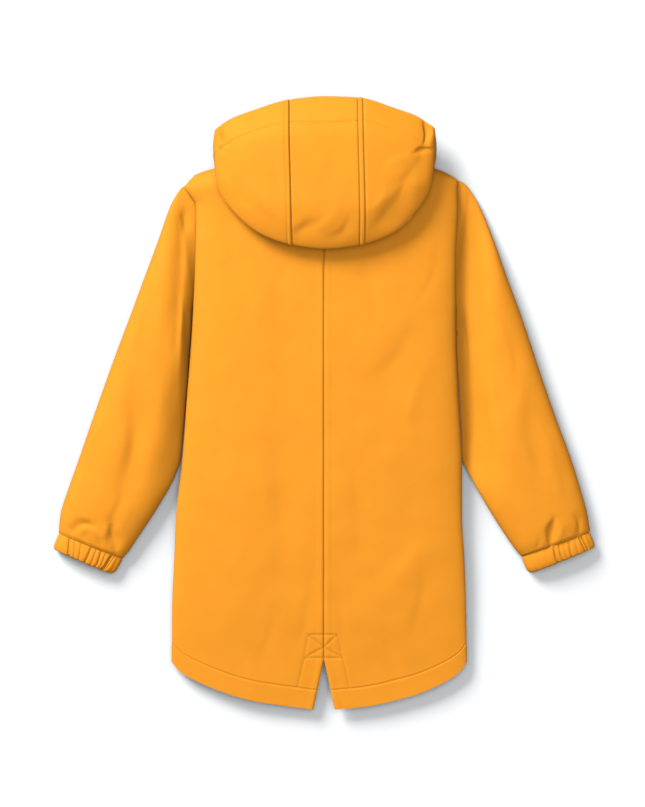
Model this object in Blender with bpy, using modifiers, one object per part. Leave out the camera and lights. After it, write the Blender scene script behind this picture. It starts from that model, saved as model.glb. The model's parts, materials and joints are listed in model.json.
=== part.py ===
"""A child's hooded softshell parka, lying front down on a flat surface with its back up.

Every length below is in millimetres: X runs to the right across the back, Y from the hem towards the hood, and Z up
from the surface. The back is two halves, sewn down the middle to a vent. The fronts lie flat below it, with a zip
between them. Each sleeve is a flattened tube that ends in a gathered cuff, and the hood is a bag of three pieces
that has fallen back over the shoulders with its face opening towards +Y.
"""

import math

import bmesh
import bpy
from mathutils import Vector

MM = 0.001
WALL = 2.0              # thickness of the bonded cloth
HALF_GAP = 0.15         # half of the gap that touching pieces keep at a seam
ZIP_HALF_GAP = 5.0      # from the middle of the zip to the edge of each front

# Colours, as linear red, green and blue.
CLOTH_YELLOW = (0.98, 0.36, 0.035)
TAPE_YELLOW = (0.85, 0.28, 0.03)
ZIP_METAL = (0.55, 0.55, 0.56)


def table(columns, *rows):
    """A table with named columns, as a dictionary of lists."""
    return {name: [row[i] for row in rows] for i, name in enumerate(columns.split())}


# The body's outline and heights, a row for each height on the back. left and right are the distances of its folded
# edges from the middle, crown is the top of the back there, and edge the height at which the cloth turns under.
BODY = table(
    "y       left   right  crown  edge",
    (-372.0, 184.0, 172.0, 15.0, 9.0),
    (-314.0, 183.0, 171.5, 19.0, 11.0),
    (-242.0, 182.4, 170.4, 26.0, 14.0),
    (-188.0, 180.0, 168.6, 30.0, 15.0),
    (-134.0, 177.6, 165.6, 33.0, 16.0),
    (-71.0, 170.4, 165.6, 36.0, 16.0),
    (10.0, 164.4, 161.4, 38.0, 16.0),
    (90.0, 158.4, 158.4, 38.0, 16.0),
    (170.0, 154.8, 158.4, 36.0, 15.0),
    (235.0, 153.6, 160.8, 33.0, 14.0),
    (275.0, 155.0, 159.0, 30.0, 13.0),
    (300.0, 155.0, 159.0, 29.0, 13.0),
)

# What the shoulder's tip adds to those edges, where the armhole seam comes out from under the fold.
SHOULDER_TIP = table(
    "y      left  right",
    (225.0, 0.0, 0.0),
    (238.0, 0.5, 0.0),
    (249.0, 7.0, 0.5),
    (259.0, 12.5, 3.0),
    (266.0, 8.0, 5.5),
    (275.0, 0.5, 1.0),
    (300.0, 0.0, 0.0),
)

# Hem and top lines of the back and fronts, by the share of the way from the middle to the edge.
BACK_HEM = table(
    "share left    right",
    (0.00, -368.2, -368.2),
    (0.22, -363.4, -365.0),
    (0.36, -360.0, -361.2),
    (0.48, -355.9, -356.4),
    (0.62, -348.9, -350.4),
    (0.87, -330.6, -332.4),
    (0.96, -320.2, -321.0),
    (1.00, -311.0, -311.0),
)
FRONT_HEM = table(
    "share y",
    (0.00, -290.0),
    (0.60, -294.0),
    (0.90, -304.0),
    (1.00, -311.0),
)
BACK_TOP = table(
    "share left   right",
    (0.00, 284.4, 284.4),
    (0.20, 286.0, 286.0),
    (0.36, 290.0, 290.0),
    (0.47, 294.5, 294.5),
    (0.65, 289.0, 288.5),
    (0.84, 282.3, 281.6),
    (0.93, 278.5, 276.0),
    (1.00, 274.0, 269.0),
)
FRONT_NECK = table(
    "share y",
    (0.00, 236.0),
    (0.12, 239.0),
    (0.26, 251.0),
    (0.39, 271.0),
    (0.47, 294.5),
)
NECK_SHARE = 0.47       # the top of the shoulder seam, as a share of the half width

CROWN_POWER = 2.6       # how square the back's section is
SIDE_SEAM_TURN = 40.0   # degrees that the back turns under before its side seam
ARMHOLE_TURN = 10.0     # the same along the armhole
ARMHOLE_TUCK = 14.0     # how far inside the fold the sleeve's lower side starts
ARMHOLE_LOW = 85.0      # Y of the underarm
ARMHOLE_HIGH = 256.0    # Y of the sleeve's highest point
ARMHOLE_EASE = 24.0     # stretch over which the armhole runs out into the side seam
SHOULDER_SEAM_Z = 9.5   # height of the shoulder seam
SHOULDER_ROLL = 26.0    # how far from the seam the back has its full height
VENT_TOP = -308.4       # Y where the back seam opens
VENT_FOOT = -368.0      # Y of the vent's lower corners
VENT_HALF = 12.6        # half its width there

BACK_ANGLES = (0, 8, 14, 22, 32, 43, 54, 64, 73, 82, 90)
BACK_TURNS = (0.45, 0.9, 1.0)
BACK_ROWS = 20
BACK_LENGTH = 640.0
BACK_TOP_STEPS = (0.0, 3.0, 7.0, 12.0, 18.0, 26.0, 36.0)
FRONT_SHARES = (0.0, 0.12, 0.22, 0.31, 0.39, 0.47, 0.65, 0.83, 1.0)
FRONT_TURNS = (0.66, 0.33, 0.07, 0.0)
FRONT_ROWS = 15
FRONT_LENGTH = 560.0
FRONT_TOP_STEPS = (0.0, 4.0, 10.0, 20.0, 32.0, 46.0)
FRONT_ROLL = 20.0
FRONT_SHOULDER_Z = 4.9

# Sleeves, a row for each ring from the armhole to the cuff: the ends of its chord on the outer and the inner edge,
# and the height of its crown.
SLEEVE_LEFT = table(
    "outer_x  outer_y  inner_x  inner_y  crown",
    (-170.5, 261.5, -160.0, 86.0, 10.4),
    (-183.6, 239.4, -161.5, 61.0, 20.0),
    (-199.2, 195.6, -163.0, 33.6, 28.0),
    (-214.8, 153.6, -166.0, -2.4, 32.0),
    (-231.6, 108.0, -169.0, -34.8, 33.0),
    (-248.4, 63.6, -172.0, -66.0, 33.0),
    (-264.0, 20.4, -181.5, -93.6, 33.0),
    (-278.4, -20.4, -194.4, -116.4, 32.0),
    (-292.8, -62.4, -209.0, -140.0, 30.0),
    (-306.0, -99.6, -222.5, -160.0, 28.0),
    (-316.6, -133.2, -234.5, -178.0, 26.0),
    (-319.0, -156.0, -241.8, -186.6, 20.0),
)
SLEEVE_RIGHT = table(
    "outer_x  outer_y  inner_x  inner_y  crown",
    (170.5, 264.2, 159.5, 86.0, 10.4),
    (185.4, 240.0, 160.0, 61.0, 20.0),
    (204.0, 195.6, 161.0, 33.6, 28.0),
    (219.0, 153.6, 162.5, -2.4, 32.0),
    (235.9, 108.0, 164.5, -34.8, 33.0),
    (250.8, 63.6, 167.0, -66.0, 33.0),
    (265.2, 20.4, 178.0, -92.0, 33.0),
    (279.6, -20.4, 190.8, -115.5, 32.0),
    (295.2, -62.4, 205.0, -139.0, 30.0),
    (307.2, -99.6, 218.0, -159.0, 28.0),
    (316.4, -133.2, 230.0, -176.0, 26.0),
    (320.0, -154.2, 236.8, -184.2, 20.0),
)
SLEEVE_RINGS = 19
SLEEVE_SIDES = 24
SLEEVE_SIDE_HEIGHT = 0.36   # height of a sleeve's widest level, as a share of its crown
SLEEVE_SIDE_LOW = 6.0       # and never lower than this
SLEEVE_BESIDE = (0.2, 1.6, 4.5, 8.0)    # rings between which a sleeve comes beside the body and leaves it again
SLEEVE_LOW = {"left": 0.1, "right": 0.75}   # how much lower its top lies there, next to the body
SLEEVE_SIDE_DROP = 0.3      # and its side
SLEEVE_TUCK = 3.3           # how far the sleeve's top starts inside that, below the fold
BODY_CLEARANCE = 0.8        # sleeves stay this far outside the body's edge

# The largest folds on what lies uppermost: soft troughs (or ridges, where the depth is negative) between two places.
FOLDS = table(
    "x0      y0      x1      y1      width  depth",
    (124.8, 250.8, 93.6, 176.4, 14.0, 2.2),
    (120.0, 100.8, 55.2, 20.4, 18.0, 2.0),
    (146.4, -151.0, 67.0, -248.0, 20.0, -1.8),
    (-132.0, 235.0, -105.6, 154.8, 14.0, 2.0),
    (-51.6, 111.6, -51.6, -204.0, 20.0, 1.6),
    (-120.0, -60.0, -96.0, -190.0, 20.0, -1.6),
    (-228.0, 3.6, -238.8, -102.0, 16.0, 3.5),
    (-190.0, 178.0, -196.0, 96.0, 14.0, -2.0),
    (-250.0, -154.8, -246.0, -186.0, 6.0, 3.0),
    (196.0, 150.0, 206.0, -40.0, 16.0, -2.5),
    (250.0, 20.0, 262.0, -88.0, 16.0, 3.0),
    (272.4, -140.0, 268.0, -176.0, 7.0, 3.0),
    (303.0, -136.0, 301.0, -160.0, 6.0, 2.4),
)

# Cuffs: the corners of the band, the free edge further out than the seam.
CUFF_LEFT = table(
    "outer_x  outer_y  inner_x  inner_y",
    (-318.4, -157.6, -242.6, -188.0),
    (-325.6, -175.8, -253.0, -204.4),
)
CUFF_RIGHT = table(
    "outer_x  outer_y  inner_x  inner_y",
    (319.4, -156.0, 238.4, -186.0),
    (325.6, -172.4, 247.4, -203.6),
)
CUFF_HEIGHT = (17.0, 18.5, 18.0, 16.5)
CUFF_GATHERS = 15
CUFF_GATHER_DEPTH = 1.1
CUFF_SIDES = 60

# The hood, a column for each line from the face edge (m) over the top (t, s) to the crown fold (f), back under it
# (u), up to the neck (k) and down to the neck seam. Rows run from the middle to the chin, x outwards. left_low is how
# much lower the face edge lies on the left.
HOOD_MIDDLE = 1.8
HOOD_TOP = table(
    "m_x    m_y    m_z   t_x    t_y    t_z   s_x    s_y    s_z   left_low",
    (0.0, 368.4, 38.0, 0.0, 318.0, 62.0, 0.0, 240.0, 68.0, 0.0),
    (40.8, 365.6, 38.0, 41.0, 316.0, 61.5, 41.0, 242.0, 67.0, 2.6),
    (82.0, 353.8, 36.0, 83.0, 310.0, 57.0, 81.0, 250.0, 61.0, 3.0),
    (114.0, 342.0, 33.0, 114.0, 304.0, 50.0, 112.0, 262.0, 53.0, 3.4),
    (131.0, 327.0, 28.0, 131.5, 300.0, 40.0, 130.5, 277.0, 41.0, 1.2),
    (133.8, 318.0, 19.0, 134.6, 309.0, 19.0, 134.4, 300.0, 19.0, 0.0),
    (84.0, 312.0, 0.0, 80.0, 308.0, 0.0, 75.0, 304.5, 0.0, 0.0),
    (45.0, 302.0, 0.0, 43.0, 295.0, 0.0, 41.0, 287.5, 0.0, 0.0),
    (5.0, 296.0, 0.0, 5.0, 287.5, 0.0, 5.0, 279.0, 0.0, 0.0),
)
HOOD_UNDER = table(
    "f_x    f_y    f_z   u_x    u_y    u_z   k_x   k_y    k_z",
    (0.0, 184.0, 52.0, 0.0, 226.0, 40.0, 0.0, 284.0, 38.0),
    (40.0, 188.5, 51.5, 34.0, 228.0, 40.0, 27.0, 285.0, 38.0),
    (79.0, 202.5, 49.0, 62.0, 238.0, 39.0, 49.0, 288.0, 37.0),
    (107.5, 227.0, 46.0, 88.0, 256.0, 37.0, 64.0, 291.0, 35.0),
    (127.0, 257.0, 38.0, 108.0, 272.0, 32.0, 74.0, 296.0, 28.0),
    (132.5, 292.0, 18.0, 108.0, 298.5, 11.0, 79.0, 302.0, 8.5),
    (68.5, 301.0, 0.0, 62.0, 296.0, 0.2, 56.5, 288.0, 0.3),
    (39.0, 279.5, 0.0, 37.5, 271.0, 0.0, 36.0, 260.0, 0.0),
    (5.0, 270.5, 0.0, 5.0, 261.0, 0.0, 5.0, 250.0, 0.0),
)
HOOD = HOOD_TOP | HOOD_UNDER
HOOD_NECK = (0.0, 27.0, 49.0, 64.0, 72.0)       # X of the columns that end on the back neckline
HOOD_NECK_Y = 285.0                             # and about where that line runs
HOOD_FRONT_NECK = (0.47, 0.39, 0.22, 0.0)       # shares of those that end on the front neckline
HOOD_SIDE_Z = (7.5, 0.5, 0.0, 0.0)              # and their height there
HOOD_NECK_GAP = 1.4
HOOD_SEAM_COLUMN = 1            # the column that the seams between strip and sides follow
HOOD_SEAM_EDGE = 0.08           # share of a column that lies flat beside them
HOOD_SIDE_COLUMNS = 15
HOOD_ROWS = 20

# The zip, on the side of the fronts that faces the surface.
TAPE_INNER, TAPE_OUTER = 2.6, 12.0
TAPE_LOW, TAPE_HIGH = 5.4, 6.2
CHAIN_HALF, CHAIN_LOW, CHAIN_HIGH = 2.2, 4.8, 6.8
ZIP_FOOT, ZIP_TOP = -287.0, 281.0
SLIDER_HALF = 3.5
SLIDER_FRONT = 288.0
SLIDER_OUTLINE = ((0, 3.6), (0, 8.0), (-12, 8.0), (-12, 7.1), (-5.5, 7.1), (-5.5, 4.5), (-12, 4.5), (-12, 3.6))
BRIDGE_HALF = 1.0
BRIDGE_OUTLINE = ((-2.0, 3.9), (-2.0, 0.6), (-7.8, 0.6), (-7.8, 3.9), (-6.7, 3.9), (-6.7, 1.4), (-3.1, 1.4), (-3.1, 3.9))
PULL_AXIS_Y, PULL_AXIS_Z = -4.9, 2.5
PULL_HALF_WIDTH, PULL_LENGTH, PULL_THICKNESS = 3.2, 27.0, 1.0
PULL_EYE_HALF, PULL_EYE_LENGTH, PULL_BAR = 1.7, 7.0, 0.7


def smooth(places, values):
    """A curve through the values that never overshoots between two of them."""
    steps = [b - a for a, b in zip(places, places[1:])]
    rises = [(b - a) / h for a, b, h in zip(values, values[1:], steps)]
    slopes = [rises[0]]
    for before, after in zip(rises, rises[1:]):
        slopes.append(0.0 if before * after <= 0 else 2 * before * after / (before + after))
    slopes.append(rises[-1])

    def curve(place):
        place = min(max(place, places[0]), places[-1])
        i = 0
        while i < len(steps) - 1 and place > places[i + 1]:
            i += 1
        t = (place - places[i]) / steps[i]
        return (values[i] * (1 + 2 * t) * (1 - t) ** 2 + slopes[i] * steps[i] * t * (1 - t) ** 2
                + values[i + 1] * t * t * (3 - 2 * t) + slopes[i + 1] * steps[i] * t * t * (t - 1))

    return curve


def column(data, name, places=None):
    """A table's column as a smooth curve over its first column, or over the places given."""
    return smooth(places or next(iter(data.values())), data[name])


def ease(low, high, value):
    """0 below low, 1 above high and a smooth step between them."""
    t = min(max((value - low) / (high - low), 0.0), 1.0)
    return t * t * (3 - 2 * t)


def fold_depth(x, y):
    """How far the folds sink the cloth at a place."""
    depth = 0.0
    for x0, y0, x1, y1, width, deep in zip(*FOLDS.values()):
        along, place = Vector((x1 - x0, y1 - y0)), Vector((x - x0, y - y0))
        t = min(max(place.dot(along) / along.length_squared, 0.0), 1.0)
        distance = (place - along * t).length
        depth += deep * math.exp(-((distance / width) ** 2)) * (0.35 + 0.65 * math.sin(math.pi * t))
    return depth


SIDES = {"left": -1, "right": 1}
edge_line = {side: column(BODY, side) for side in SIDES}
tip_line = {side: column(SHOULDER_TIP, side) for side in SIDES}
top_line = {side: column(BACK_TOP, side) for side in SIDES}
crown_line = column(BODY, "crown")
edge_height = column(BODY, "edge")
back_hem = {side: column(BACK_HEM, side) for side in SIDES}
front_hem = column(FRONT_HEM, "y")
front_neck = column(FRONT_NECK, "y")


def edge(side, y):
    """Distance of the body's folded edge from the middle."""
    return edge_line[side](y) + tip_line[side](y)


def past_underarm(y):
    """0 along the side seam and 1 above the underarm."""
    return ease(ARMHOLE_LOW, ARMHOLE_LOW + ARMHOLE_EASE, y)


def armhole(y):
    """1 along the armhole and 0 above and below it."""
    return past_underarm(y) * (1 - ease(ARMHOLE_HIGH - ARMHOLE_EASE, ARMHOLE_HIGH, y))


def back_height(share, y, below_top):
    """Height of the back at a share of its half width, with its roll down to the shoulder seam."""
    low = edge_height(y)
    high = low + (crown_line(y) - low) * max(1 - share ** CROWN_POWER, 0.0) ** (1 / CROWN_POWER)
    rolled = ease(NECK_SHARE - 0.12, NECK_SHARE + 0.05, share)
    if below_top >= SHOULDER_ROLL or rolled == 0:
        return high
    rise = math.sqrt(1 - (1 - max(below_top, 0.0) / SHOULDER_ROLL) ** 2)
    seam = min(SHOULDER_SEAM_Z, high)
    return high + (seam + (high - seam) * rise - high) * rolled


def cloth(name, grid, color, up_cell, up, closed=False):
    """A wall of cloth below or inside a grid of points. The cell given faces up or down, which sets its outside."""
    rows, columns = len(grid), len(grid[0])
    points = [Vector(p) * MM for row in grid for p in row]
    faces = []
    for i in range(rows - 1):
        for j in range(columns if closed else columns - 1):
            k = (j + 1) % columns
            faces.append((i * columns + j, i * columns + k, (i + 1) * columns + k, (i + 1) * columns + j))
    mesh = bpy.data.meshes.new(name)
    mesh.from_pydata(points, [], faces)
    cell = up_cell[0] * (columns if closed else columns - 1) + up_cell[1]
    if (mesh.polygons[cell].normal.z > 0) != up:
        mesh.flip_normals()
    piece = add_object(name, mesh, color, 0.75)
    wall = piece.modifiers.new("Wall", "SOLIDIFY")
    wall.thickness = WALL * MM
    wall.offset = -1
    return piece


def add_object(name, mesh, color, roughness, metallic=0.0):
    """Puts a mesh into the parka's collection with a material of its own."""
    material = bpy.data.materials.new(name)
    material.use_nodes = True
    shader = material.node_tree.nodes["Principled BSDF"]
    shader.inputs["Base Color"].default_value = (*color, 1)
    shader.inputs["Roughness"].default_value = roughness
    shader.inputs["Metallic"].default_value = metallic
    mesh.materials.append(material)
    piece = bpy.data.objects.new(name, mesh)
    parka.objects.link(piece)
    return piece


def row_shares(steps, count, length):
    """Shares of the way from the hem to the top: even rows, then the steps given down from the top."""
    last = 1 - steps[-1] / length
    return [last * i / count for i in range(count)] + [1 - step / length for step in reversed(steps)]


def back_half(side):
    """Half of the back, from the middle seam over the fold to the side seam or the armhole."""
    out = SIDES[side]
    grid = []
    for row in row_shares(BACK_TOP_STEPS, BACK_ROWS, BACK_LENGTH):
        line = []
        for angle in BACK_ANGLES:
            share = math.sin(math.radians(angle)) ** (2 / CROWN_POWER)
            top = top_line[side](share)
            hem = back_hem[side](share)
            y = hem + (top - hem) * row
            vent = VENT_HALF * max((VENT_TOP - y) / (VENT_TOP - VENT_FOOT), 0.0)
            inner = HALF_GAP + vent
            x = inner + (edge(side, y) - inner) * share
            sunk = fold_depth(out * x, y) * (1 - share ** 4) * ease(0.0, SHOULDER_ROLL, top - y)
            line.append((out * x, y, back_height(share, y, top - y) - sunk))
        fold_x, y, fold_z = line[-1]
        turn = SIDE_SEAM_TURN + (ARMHOLE_TURN - SIDE_SEAM_TURN) * past_underarm(y)
        for part in BACK_TURNS:
            angle = math.radians(turn * part)
            line.append((fold_x - out * fold_z * (1 - math.cos(angle)), y, fold_z * (1 - math.sin(angle))))
        grid.append(line)
    return cloth(f"back_{side}", grid, CLOTH_YELLOW, (10, 0), True)


def front_x(side, share, y):
    """Distance from the middle of a share of the front's flat width."""
    flat = edge(side, y) - max(edge_height(y), ARMHOLE_TUCK * armhole(y))
    return ZIP_HALF_GAP + (flat - ZIP_HALF_GAP) * share


def front_half(side):
    """A front, flat on the surface from the zip to the side, where it turns up to the side seam."""
    out = SIDES[side]
    grid = []
    for row in row_shares(FRONT_TOP_STEPS, FRONT_ROWS, FRONT_LENGTH):
        top = top_line[side](1.0)
        side_y = front_hem(1.0) + (top - front_hem(1.0)) * row
        height = edge_height(side_y)
        seam_angle = math.radians(SIDE_SEAM_TURN + 2)
        open_arm = armhole(side_y)
        line = []
        for share in FRONT_SHARES:
            top = front_neck(share) if share < NECK_SHARE else top_line[side](share)
            y = front_hem(share) + (top - front_hem(share)) * row
            x = front_x(side, share, y)
            roll = 1 - min((top - y) / FRONT_ROLL, 1.0)
            lift = FRONT_SHOULDER_Z * roll * roll * ease(NECK_SHARE - 0.1, NECK_SHARE + 0.1, share)
            line.append((out * x, y, lift))
        x, y, lift = line[-1]
        for part in FRONT_TURNS:
            angle = seam_angle + (math.pi / 2 - seam_angle) * part
            reach = height * (math.cos(angle)) * (1 - open_arm) + 0.9 * (1 - part) * open_arm
            rise = height * (1 - math.sin(angle)) * (1 - past_underarm(y))
            line.append((x + out * reach, y, max(lift, rise)))
        grid.append(line)
    return cloth(f"front_{side}", grid, CLOTH_YELLOW, (5, 0), False)


def flat_ring(outer, inner, crown, side_z, count, ripple=None):
    """A flattened ring between two points: a round crown, a flat underside and sides turned in between."""
    middle, half = (outer + inner) / 2, (outer - inner) / 2
    ring = []
    for i in range(count):
        angle = 2 * math.pi * i / count
        c, s = math.cos(angle), math.sin(angle)
        if s >= 0:
            wide, high = abs(c) ** (2 / 2.3), s ** (2 / 2.3)
            z = side_z + (crown - side_z) * high
        else:
            wide, high = abs(c) ** (2 / 3.2), (-s) ** (2 / 5)
            z = side_z * (1 - high)
        swell = ripple(angle) if ripple else 0.0
        place = middle + half * math.copysign(wide, c) * (1 + swell / half.length)
        ring.append(Vector((place.x, place.y, z + swell * max(s, 0.0))))
    return ring


def sleeve(side, data):
    """A sleeve, from the armhole under the body's fold to the cuff."""
    out = SIDES[side]
    places = list(range(len(data["crown"])))
    lines = {name: column(data, name, places) for name in data}
    grid = []
    for i in range(SLEEVE_RINGS):
        place = places[-1] * i / (SLEEVE_RINGS - 1)
        at = {name: line(place) for name, line in lines.items()}
        outer, inner = Vector((at["outer_x"], at["outer_y"])), Vector((at["inner_x"], at["inner_y"]))
        side_z = max(at["crown"] * SLEEVE_SIDE_HEIGHT, SLEEVE_SIDE_LOW)
        ring = flat_ring(outer, inner, at["crown"], side_z, SLEEVE_SIDES)
        near = max(1 - place, 0.0)
        beside = ease(*SLEEVE_BESIDE[:2], place) * (1 - ease(*SLEEVE_BESIDE[2:], place))
        for j, point in enumerate(ring):
            inwards = -math.cos(2 * math.pi * j / SLEEVE_SIDES)
            above = max(point.z - side_z, 0.0)
            point.z -= above * SLEEVE_LOW[side] * beside * ease(0.1, 0.8, inwards)
            point.z *= 1 - SLEEVE_SIDE_DROP * beside * ease(0.3, 1.0, inwards)
            fold = edge(side, point.y) + BODY_CLEARANCE
            if j > SLEEVE_SIDES // 2:
                tuck = (ARMHOLE_TUCK - 2) * armhole(point.y)
            else:
                tuck = SLEEVE_TUCK * past_underarm(point.y - ARMHOLE_EASE)
            pull = near ** (1 + 4 * ((1 + math.cos(2 * math.pi * j / SLEEVE_SIDES)) / 2) ** 3)
            reach = abs(point.x) + (fold - tuck - abs(point.x)) * pull
            point.x = out * max(reach, fold - tuck * near)
            rise = max(math.sin(2 * math.pi * j / SLEEVE_SIDES), 0.0)
            point.z -= fold_depth(point.x, point.y) * rise * (1 - near)
        grid.append(ring)
    return cloth(f"sleeve_{side}", grid, CLOTH_YELLOW, (SLEEVE_RINGS // 2, SLEEVE_SIDES // 4), True, closed=True)


def cuff(side, data):
    """The elastic band at a sleeve's end, gathered all round apart from where it lies flat."""
    def ripple(angle):
        lying = ease(-0.15, 0.25, math.sin(angle))
        return CUFF_GATHER_DEPTH * lying * math.sin(CUFF_GATHERS * angle)

    grid = []
    for i, height in enumerate(CUFF_HEIGHT):
        t = i / (len(CUFF_HEIGHT) - 1)
        ends = []
        for end in ("outer", "inner"):
            (x0, x1), (y0, y1) = data[f"{end}_x"], data[f"{end}_y"]
            ends.append(Vector((x0 + (x1 - x0) * t, y0 + (y1 - y0) * t)))
        grid.append(flat_ring(*ends, height, height * 0.42, CUFF_SIDES, ripple))
    return cloth(f"cuff_{side}", grid, CLOTH_YELLOW, (1, CUFF_SIDES // 4), True, closed=True)


def hood_lines(side):
    """The hood's half as smooth curves: for each control row, x, y and z along its columns."""
    columns = list(range(len(HOOD["m_x"])))
    rows = [tuple(column(HOOD, f"{row}_{axis}", columns) for axis in "xyz") for row in "mtsfuk"]
    if side == "left":
        face_edge = [y - low for y, low in zip(HOOD["m_y"], HOOD["left_low"])]
        rows[0] = (rows[0][0], smooth(columns, face_edge), rows[0][2])
    neck = []
    for x in HOOD_NECK:
        share = x / edge(side, HOOD_NECK_Y)
        top = top_line[side](share)
        neck.append((x, top + HOOD_NECK_GAP, back_height(share, top, 0.0)))
    for share, z in zip(HOOD_FRONT_NECK, HOOD_SIDE_Z):
        y = front_neck(share) + HOOD_NECK_GAP
        neck.append((front_x(side, share, y), y, z))
    rows.append(tuple(smooth(columns, [point[i] for point in neck]) for i in range(3)))
    return rows


def hood_grid(side, columns):
    """Points of the hood's half, a row for each step from the face edge to the neck seam."""
    out = SIDES[side]
    rows = hood_lines(side)
    places = list(range(len(rows)))
    grid = []
    for i in range(HOOD_ROWS):
        place = places[-1] * i / (HOOD_ROWS - 1)
        line = []
        for position in columns:
            x, y, z = (smooth(places, [row[axis](position) for row in rows])(place) for axis in range(3))
            line.append((x, y, max(z, 0.0)))
        grid.append([(HOOD_MIDDLE * (1 if position < len(HOOD_NECK) else 0) + out * x, y, z)
                     for position, (x, y, z) in zip(columns, line)])
    return grid


def hood():
    """The centre strip and the two sides of the hood."""
    last = len(HOOD["m_x"]) - 1
    half = (HOOD_SEAM_COLUMN, HOOD_SEAM_COLUMN - HOOD_SEAM_EDGE, 0.0)
    left = hood_grid("left", half)
    right = hood_grid("right", half[::-1])
    strip = []
    for a, b in zip(left, right):
        a[0] = (a[0][0] + HALF_GAP, *a[0][1:])
        b[-1] = (b[-1][0] - HALF_GAP, *b[-1][1:])
        strip.append(a + b[1:])
    cloth("hood_center", strip, CLOTH_YELLOW, (4, 1), True)
    across = [i / (HOOD_SIDE_COLUMNS - 1) for i in range(HOOD_SIDE_COLUMNS)]
    steps = [HOOD_SEAM_COLUMN + (last - HOOD_SEAM_COLUMN) * share for share in across]
    steps.insert(1, HOOD_SEAM_COLUMN + HOOD_SEAM_EDGE)
    for side, out in SIDES.items():
        grid = hood_grid(side, steps)
        for line in grid:
            line[0] = (line[0][0] + out * HALF_GAP, *line[0][1:])
        cloth(f"hood_side_{side}", grid, CLOTH_YELLOW, (4, 1), True)


def block(name, low, high, color, metallic=0.0):
    """A plain box between two corners."""
    bpy.ops.mesh.primitive_cube_add(size=1)
    made = bpy.context.object
    mesh = made.data
    size = Vector(high) - Vector(low)
    centre = (Vector(high) + Vector(low)) / 2
    for vertex in mesh.vertices:
        vertex.co = Vector(a * b for a, b in zip(vertex.co, size)) * MM + centre * MM
    bpy.data.objects.remove(made)
    return add_object(name, mesh, color, 0.5, metallic)


def plate(name, loops, half_thickness):
    """A flat plate from closed outlines, as a mesh in the XY plane with its middle at z 0."""
    curve = bpy.data.curves.new(name, "CURVE")
    curve.dimensions = "2D"
    curve.fill_mode = "BOTH"
    curve.extrude = half_thickness * MM
    for loop in loops:
        spline = curve.splines.new("POLY")
        spline.points.add(len(loop) - 1)
        for point, (x, y) in zip(spline.points, loop):
            point.co = (x * MM, y * MM, 0, 1)
        spline.use_cyclic_u = True
    shape = bpy.data.objects.new(name, curve)
    parka.objects.link(shape)
    mesh = bpy.data.meshes.new_from_object(shape.evaluated_get(bpy.context.evaluated_depsgraph_get()))
    bpy.data.objects.remove(shape)
    body = bmesh.new()
    body.from_mesh(mesh)
    bmesh.ops.remove_doubles(body, verts=body.verts, dist=1e-6)
    bmesh.ops.recalc_face_normals(body, faces=body.faces)
    body.to_mesh(mesh)
    body.free()
    return mesh


def zip_fastener():
    """Tapes, closed chain, slider at the chin and its pull tab, which hangs from a bridge under the slider."""
    for side, out in SIDES.items():
        ends = sorted((out * TAPE_INNER, out * TAPE_OUTER))
        block(f"zip_tape_{side}", (ends[0], ZIP_FOOT, TAPE_LOW), (ends[1], ZIP_TOP, TAPE_HIGH), TAPE_YELLOW)
    block("zip_chain", (-CHAIN_HALF, ZIP_FOOT, CHAIN_LOW), (CHAIN_HALF, ZIP_TOP, CHAIN_HIGH), TAPE_YELLOW)

    # The outlines are drawn with Y along the zip and Z up, so they are turned from the XY plane into YZ.
    def upright(mesh):
        for vertex in mesh.vertices:
            x, y, z = vertex.co
            vertex.co = (z, x + SLIDER_FRONT * MM, y)
        return mesh

    slider = add_object("zip_slider", upright(plate("slider", [SLIDER_OUTLINE], SLIDER_HALF)), ZIP_METAL, 0.35, 1.0)
    bridge = bpy.data.objects.new("bridge", upright(plate("bridge", [BRIDGE_OUTLINE], BRIDGE_HALF)))
    bridge.hide_render = True
    bridge.display_type = "WIRE"
    cutters.objects.link(bridge)
    join = slider.modifiers.new("Bridge", "BOOLEAN")
    join.operation = "UNION"
    join.object = bridge

    end = -PULL_LENGTH
    corner = 1.2
    outline = ((-PULL_HALF_WIDTH, PULL_BAR), (-PULL_HALF_WIDTH, end + corner), (-PULL_HALF_WIDTH + corner, end),
               (PULL_HALF_WIDTH - corner, end), (PULL_HALF_WIDTH, end + corner), (PULL_HALF_WIDTH, PULL_BAR))
    eye = ((-PULL_EYE_HALF, -PULL_BAR), (PULL_EYE_HALF, -PULL_BAR),
           (PULL_EYE_HALF, -PULL_EYE_LENGTH), (-PULL_EYE_HALF, -PULL_EYE_LENGTH))
    tab = add_object("zip_pull", plate("pull", [outline, eye], PULL_THICKNESS / 2), ZIP_METAL, 0.35, 1.0)
    tab.location = (0, (SLIDER_FRONT + PULL_AXIS_Y) * MM, PULL_AXIS_Z * MM)


for old in list(bpy.data.objects):
    bpy.data.objects.remove(old)
parka = bpy.data.collections.new("softshell parka")
cutters = bpy.data.collections.new("cutters")
bpy.context.scene.collection.children.link(parka)
bpy.context.scene.collection.children.link(cutters)

for side_name in SIDES:
    back_half(side_name)
    front_half(side_name)
sleeve("left", SLEEVE_LEFT)
sleeve("right", SLEEVE_RIGHT)
cuff("left", CUFF_LEFT)
cuff("right", CUFF_RIGHT)
hood()
zip_fastener()
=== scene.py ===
"""A child's softshell parka lying front down: cloth, sewing, gathered cuffs, hood and zip on the frame.

Tables are in millimetres: X to the right across the back, Y from the hem towards the hood, Z up.
"""

import json
import math

import bmesh
import bpy
import numpy as np
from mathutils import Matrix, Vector
from mathutils.bvhtree import BVHTree

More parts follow.
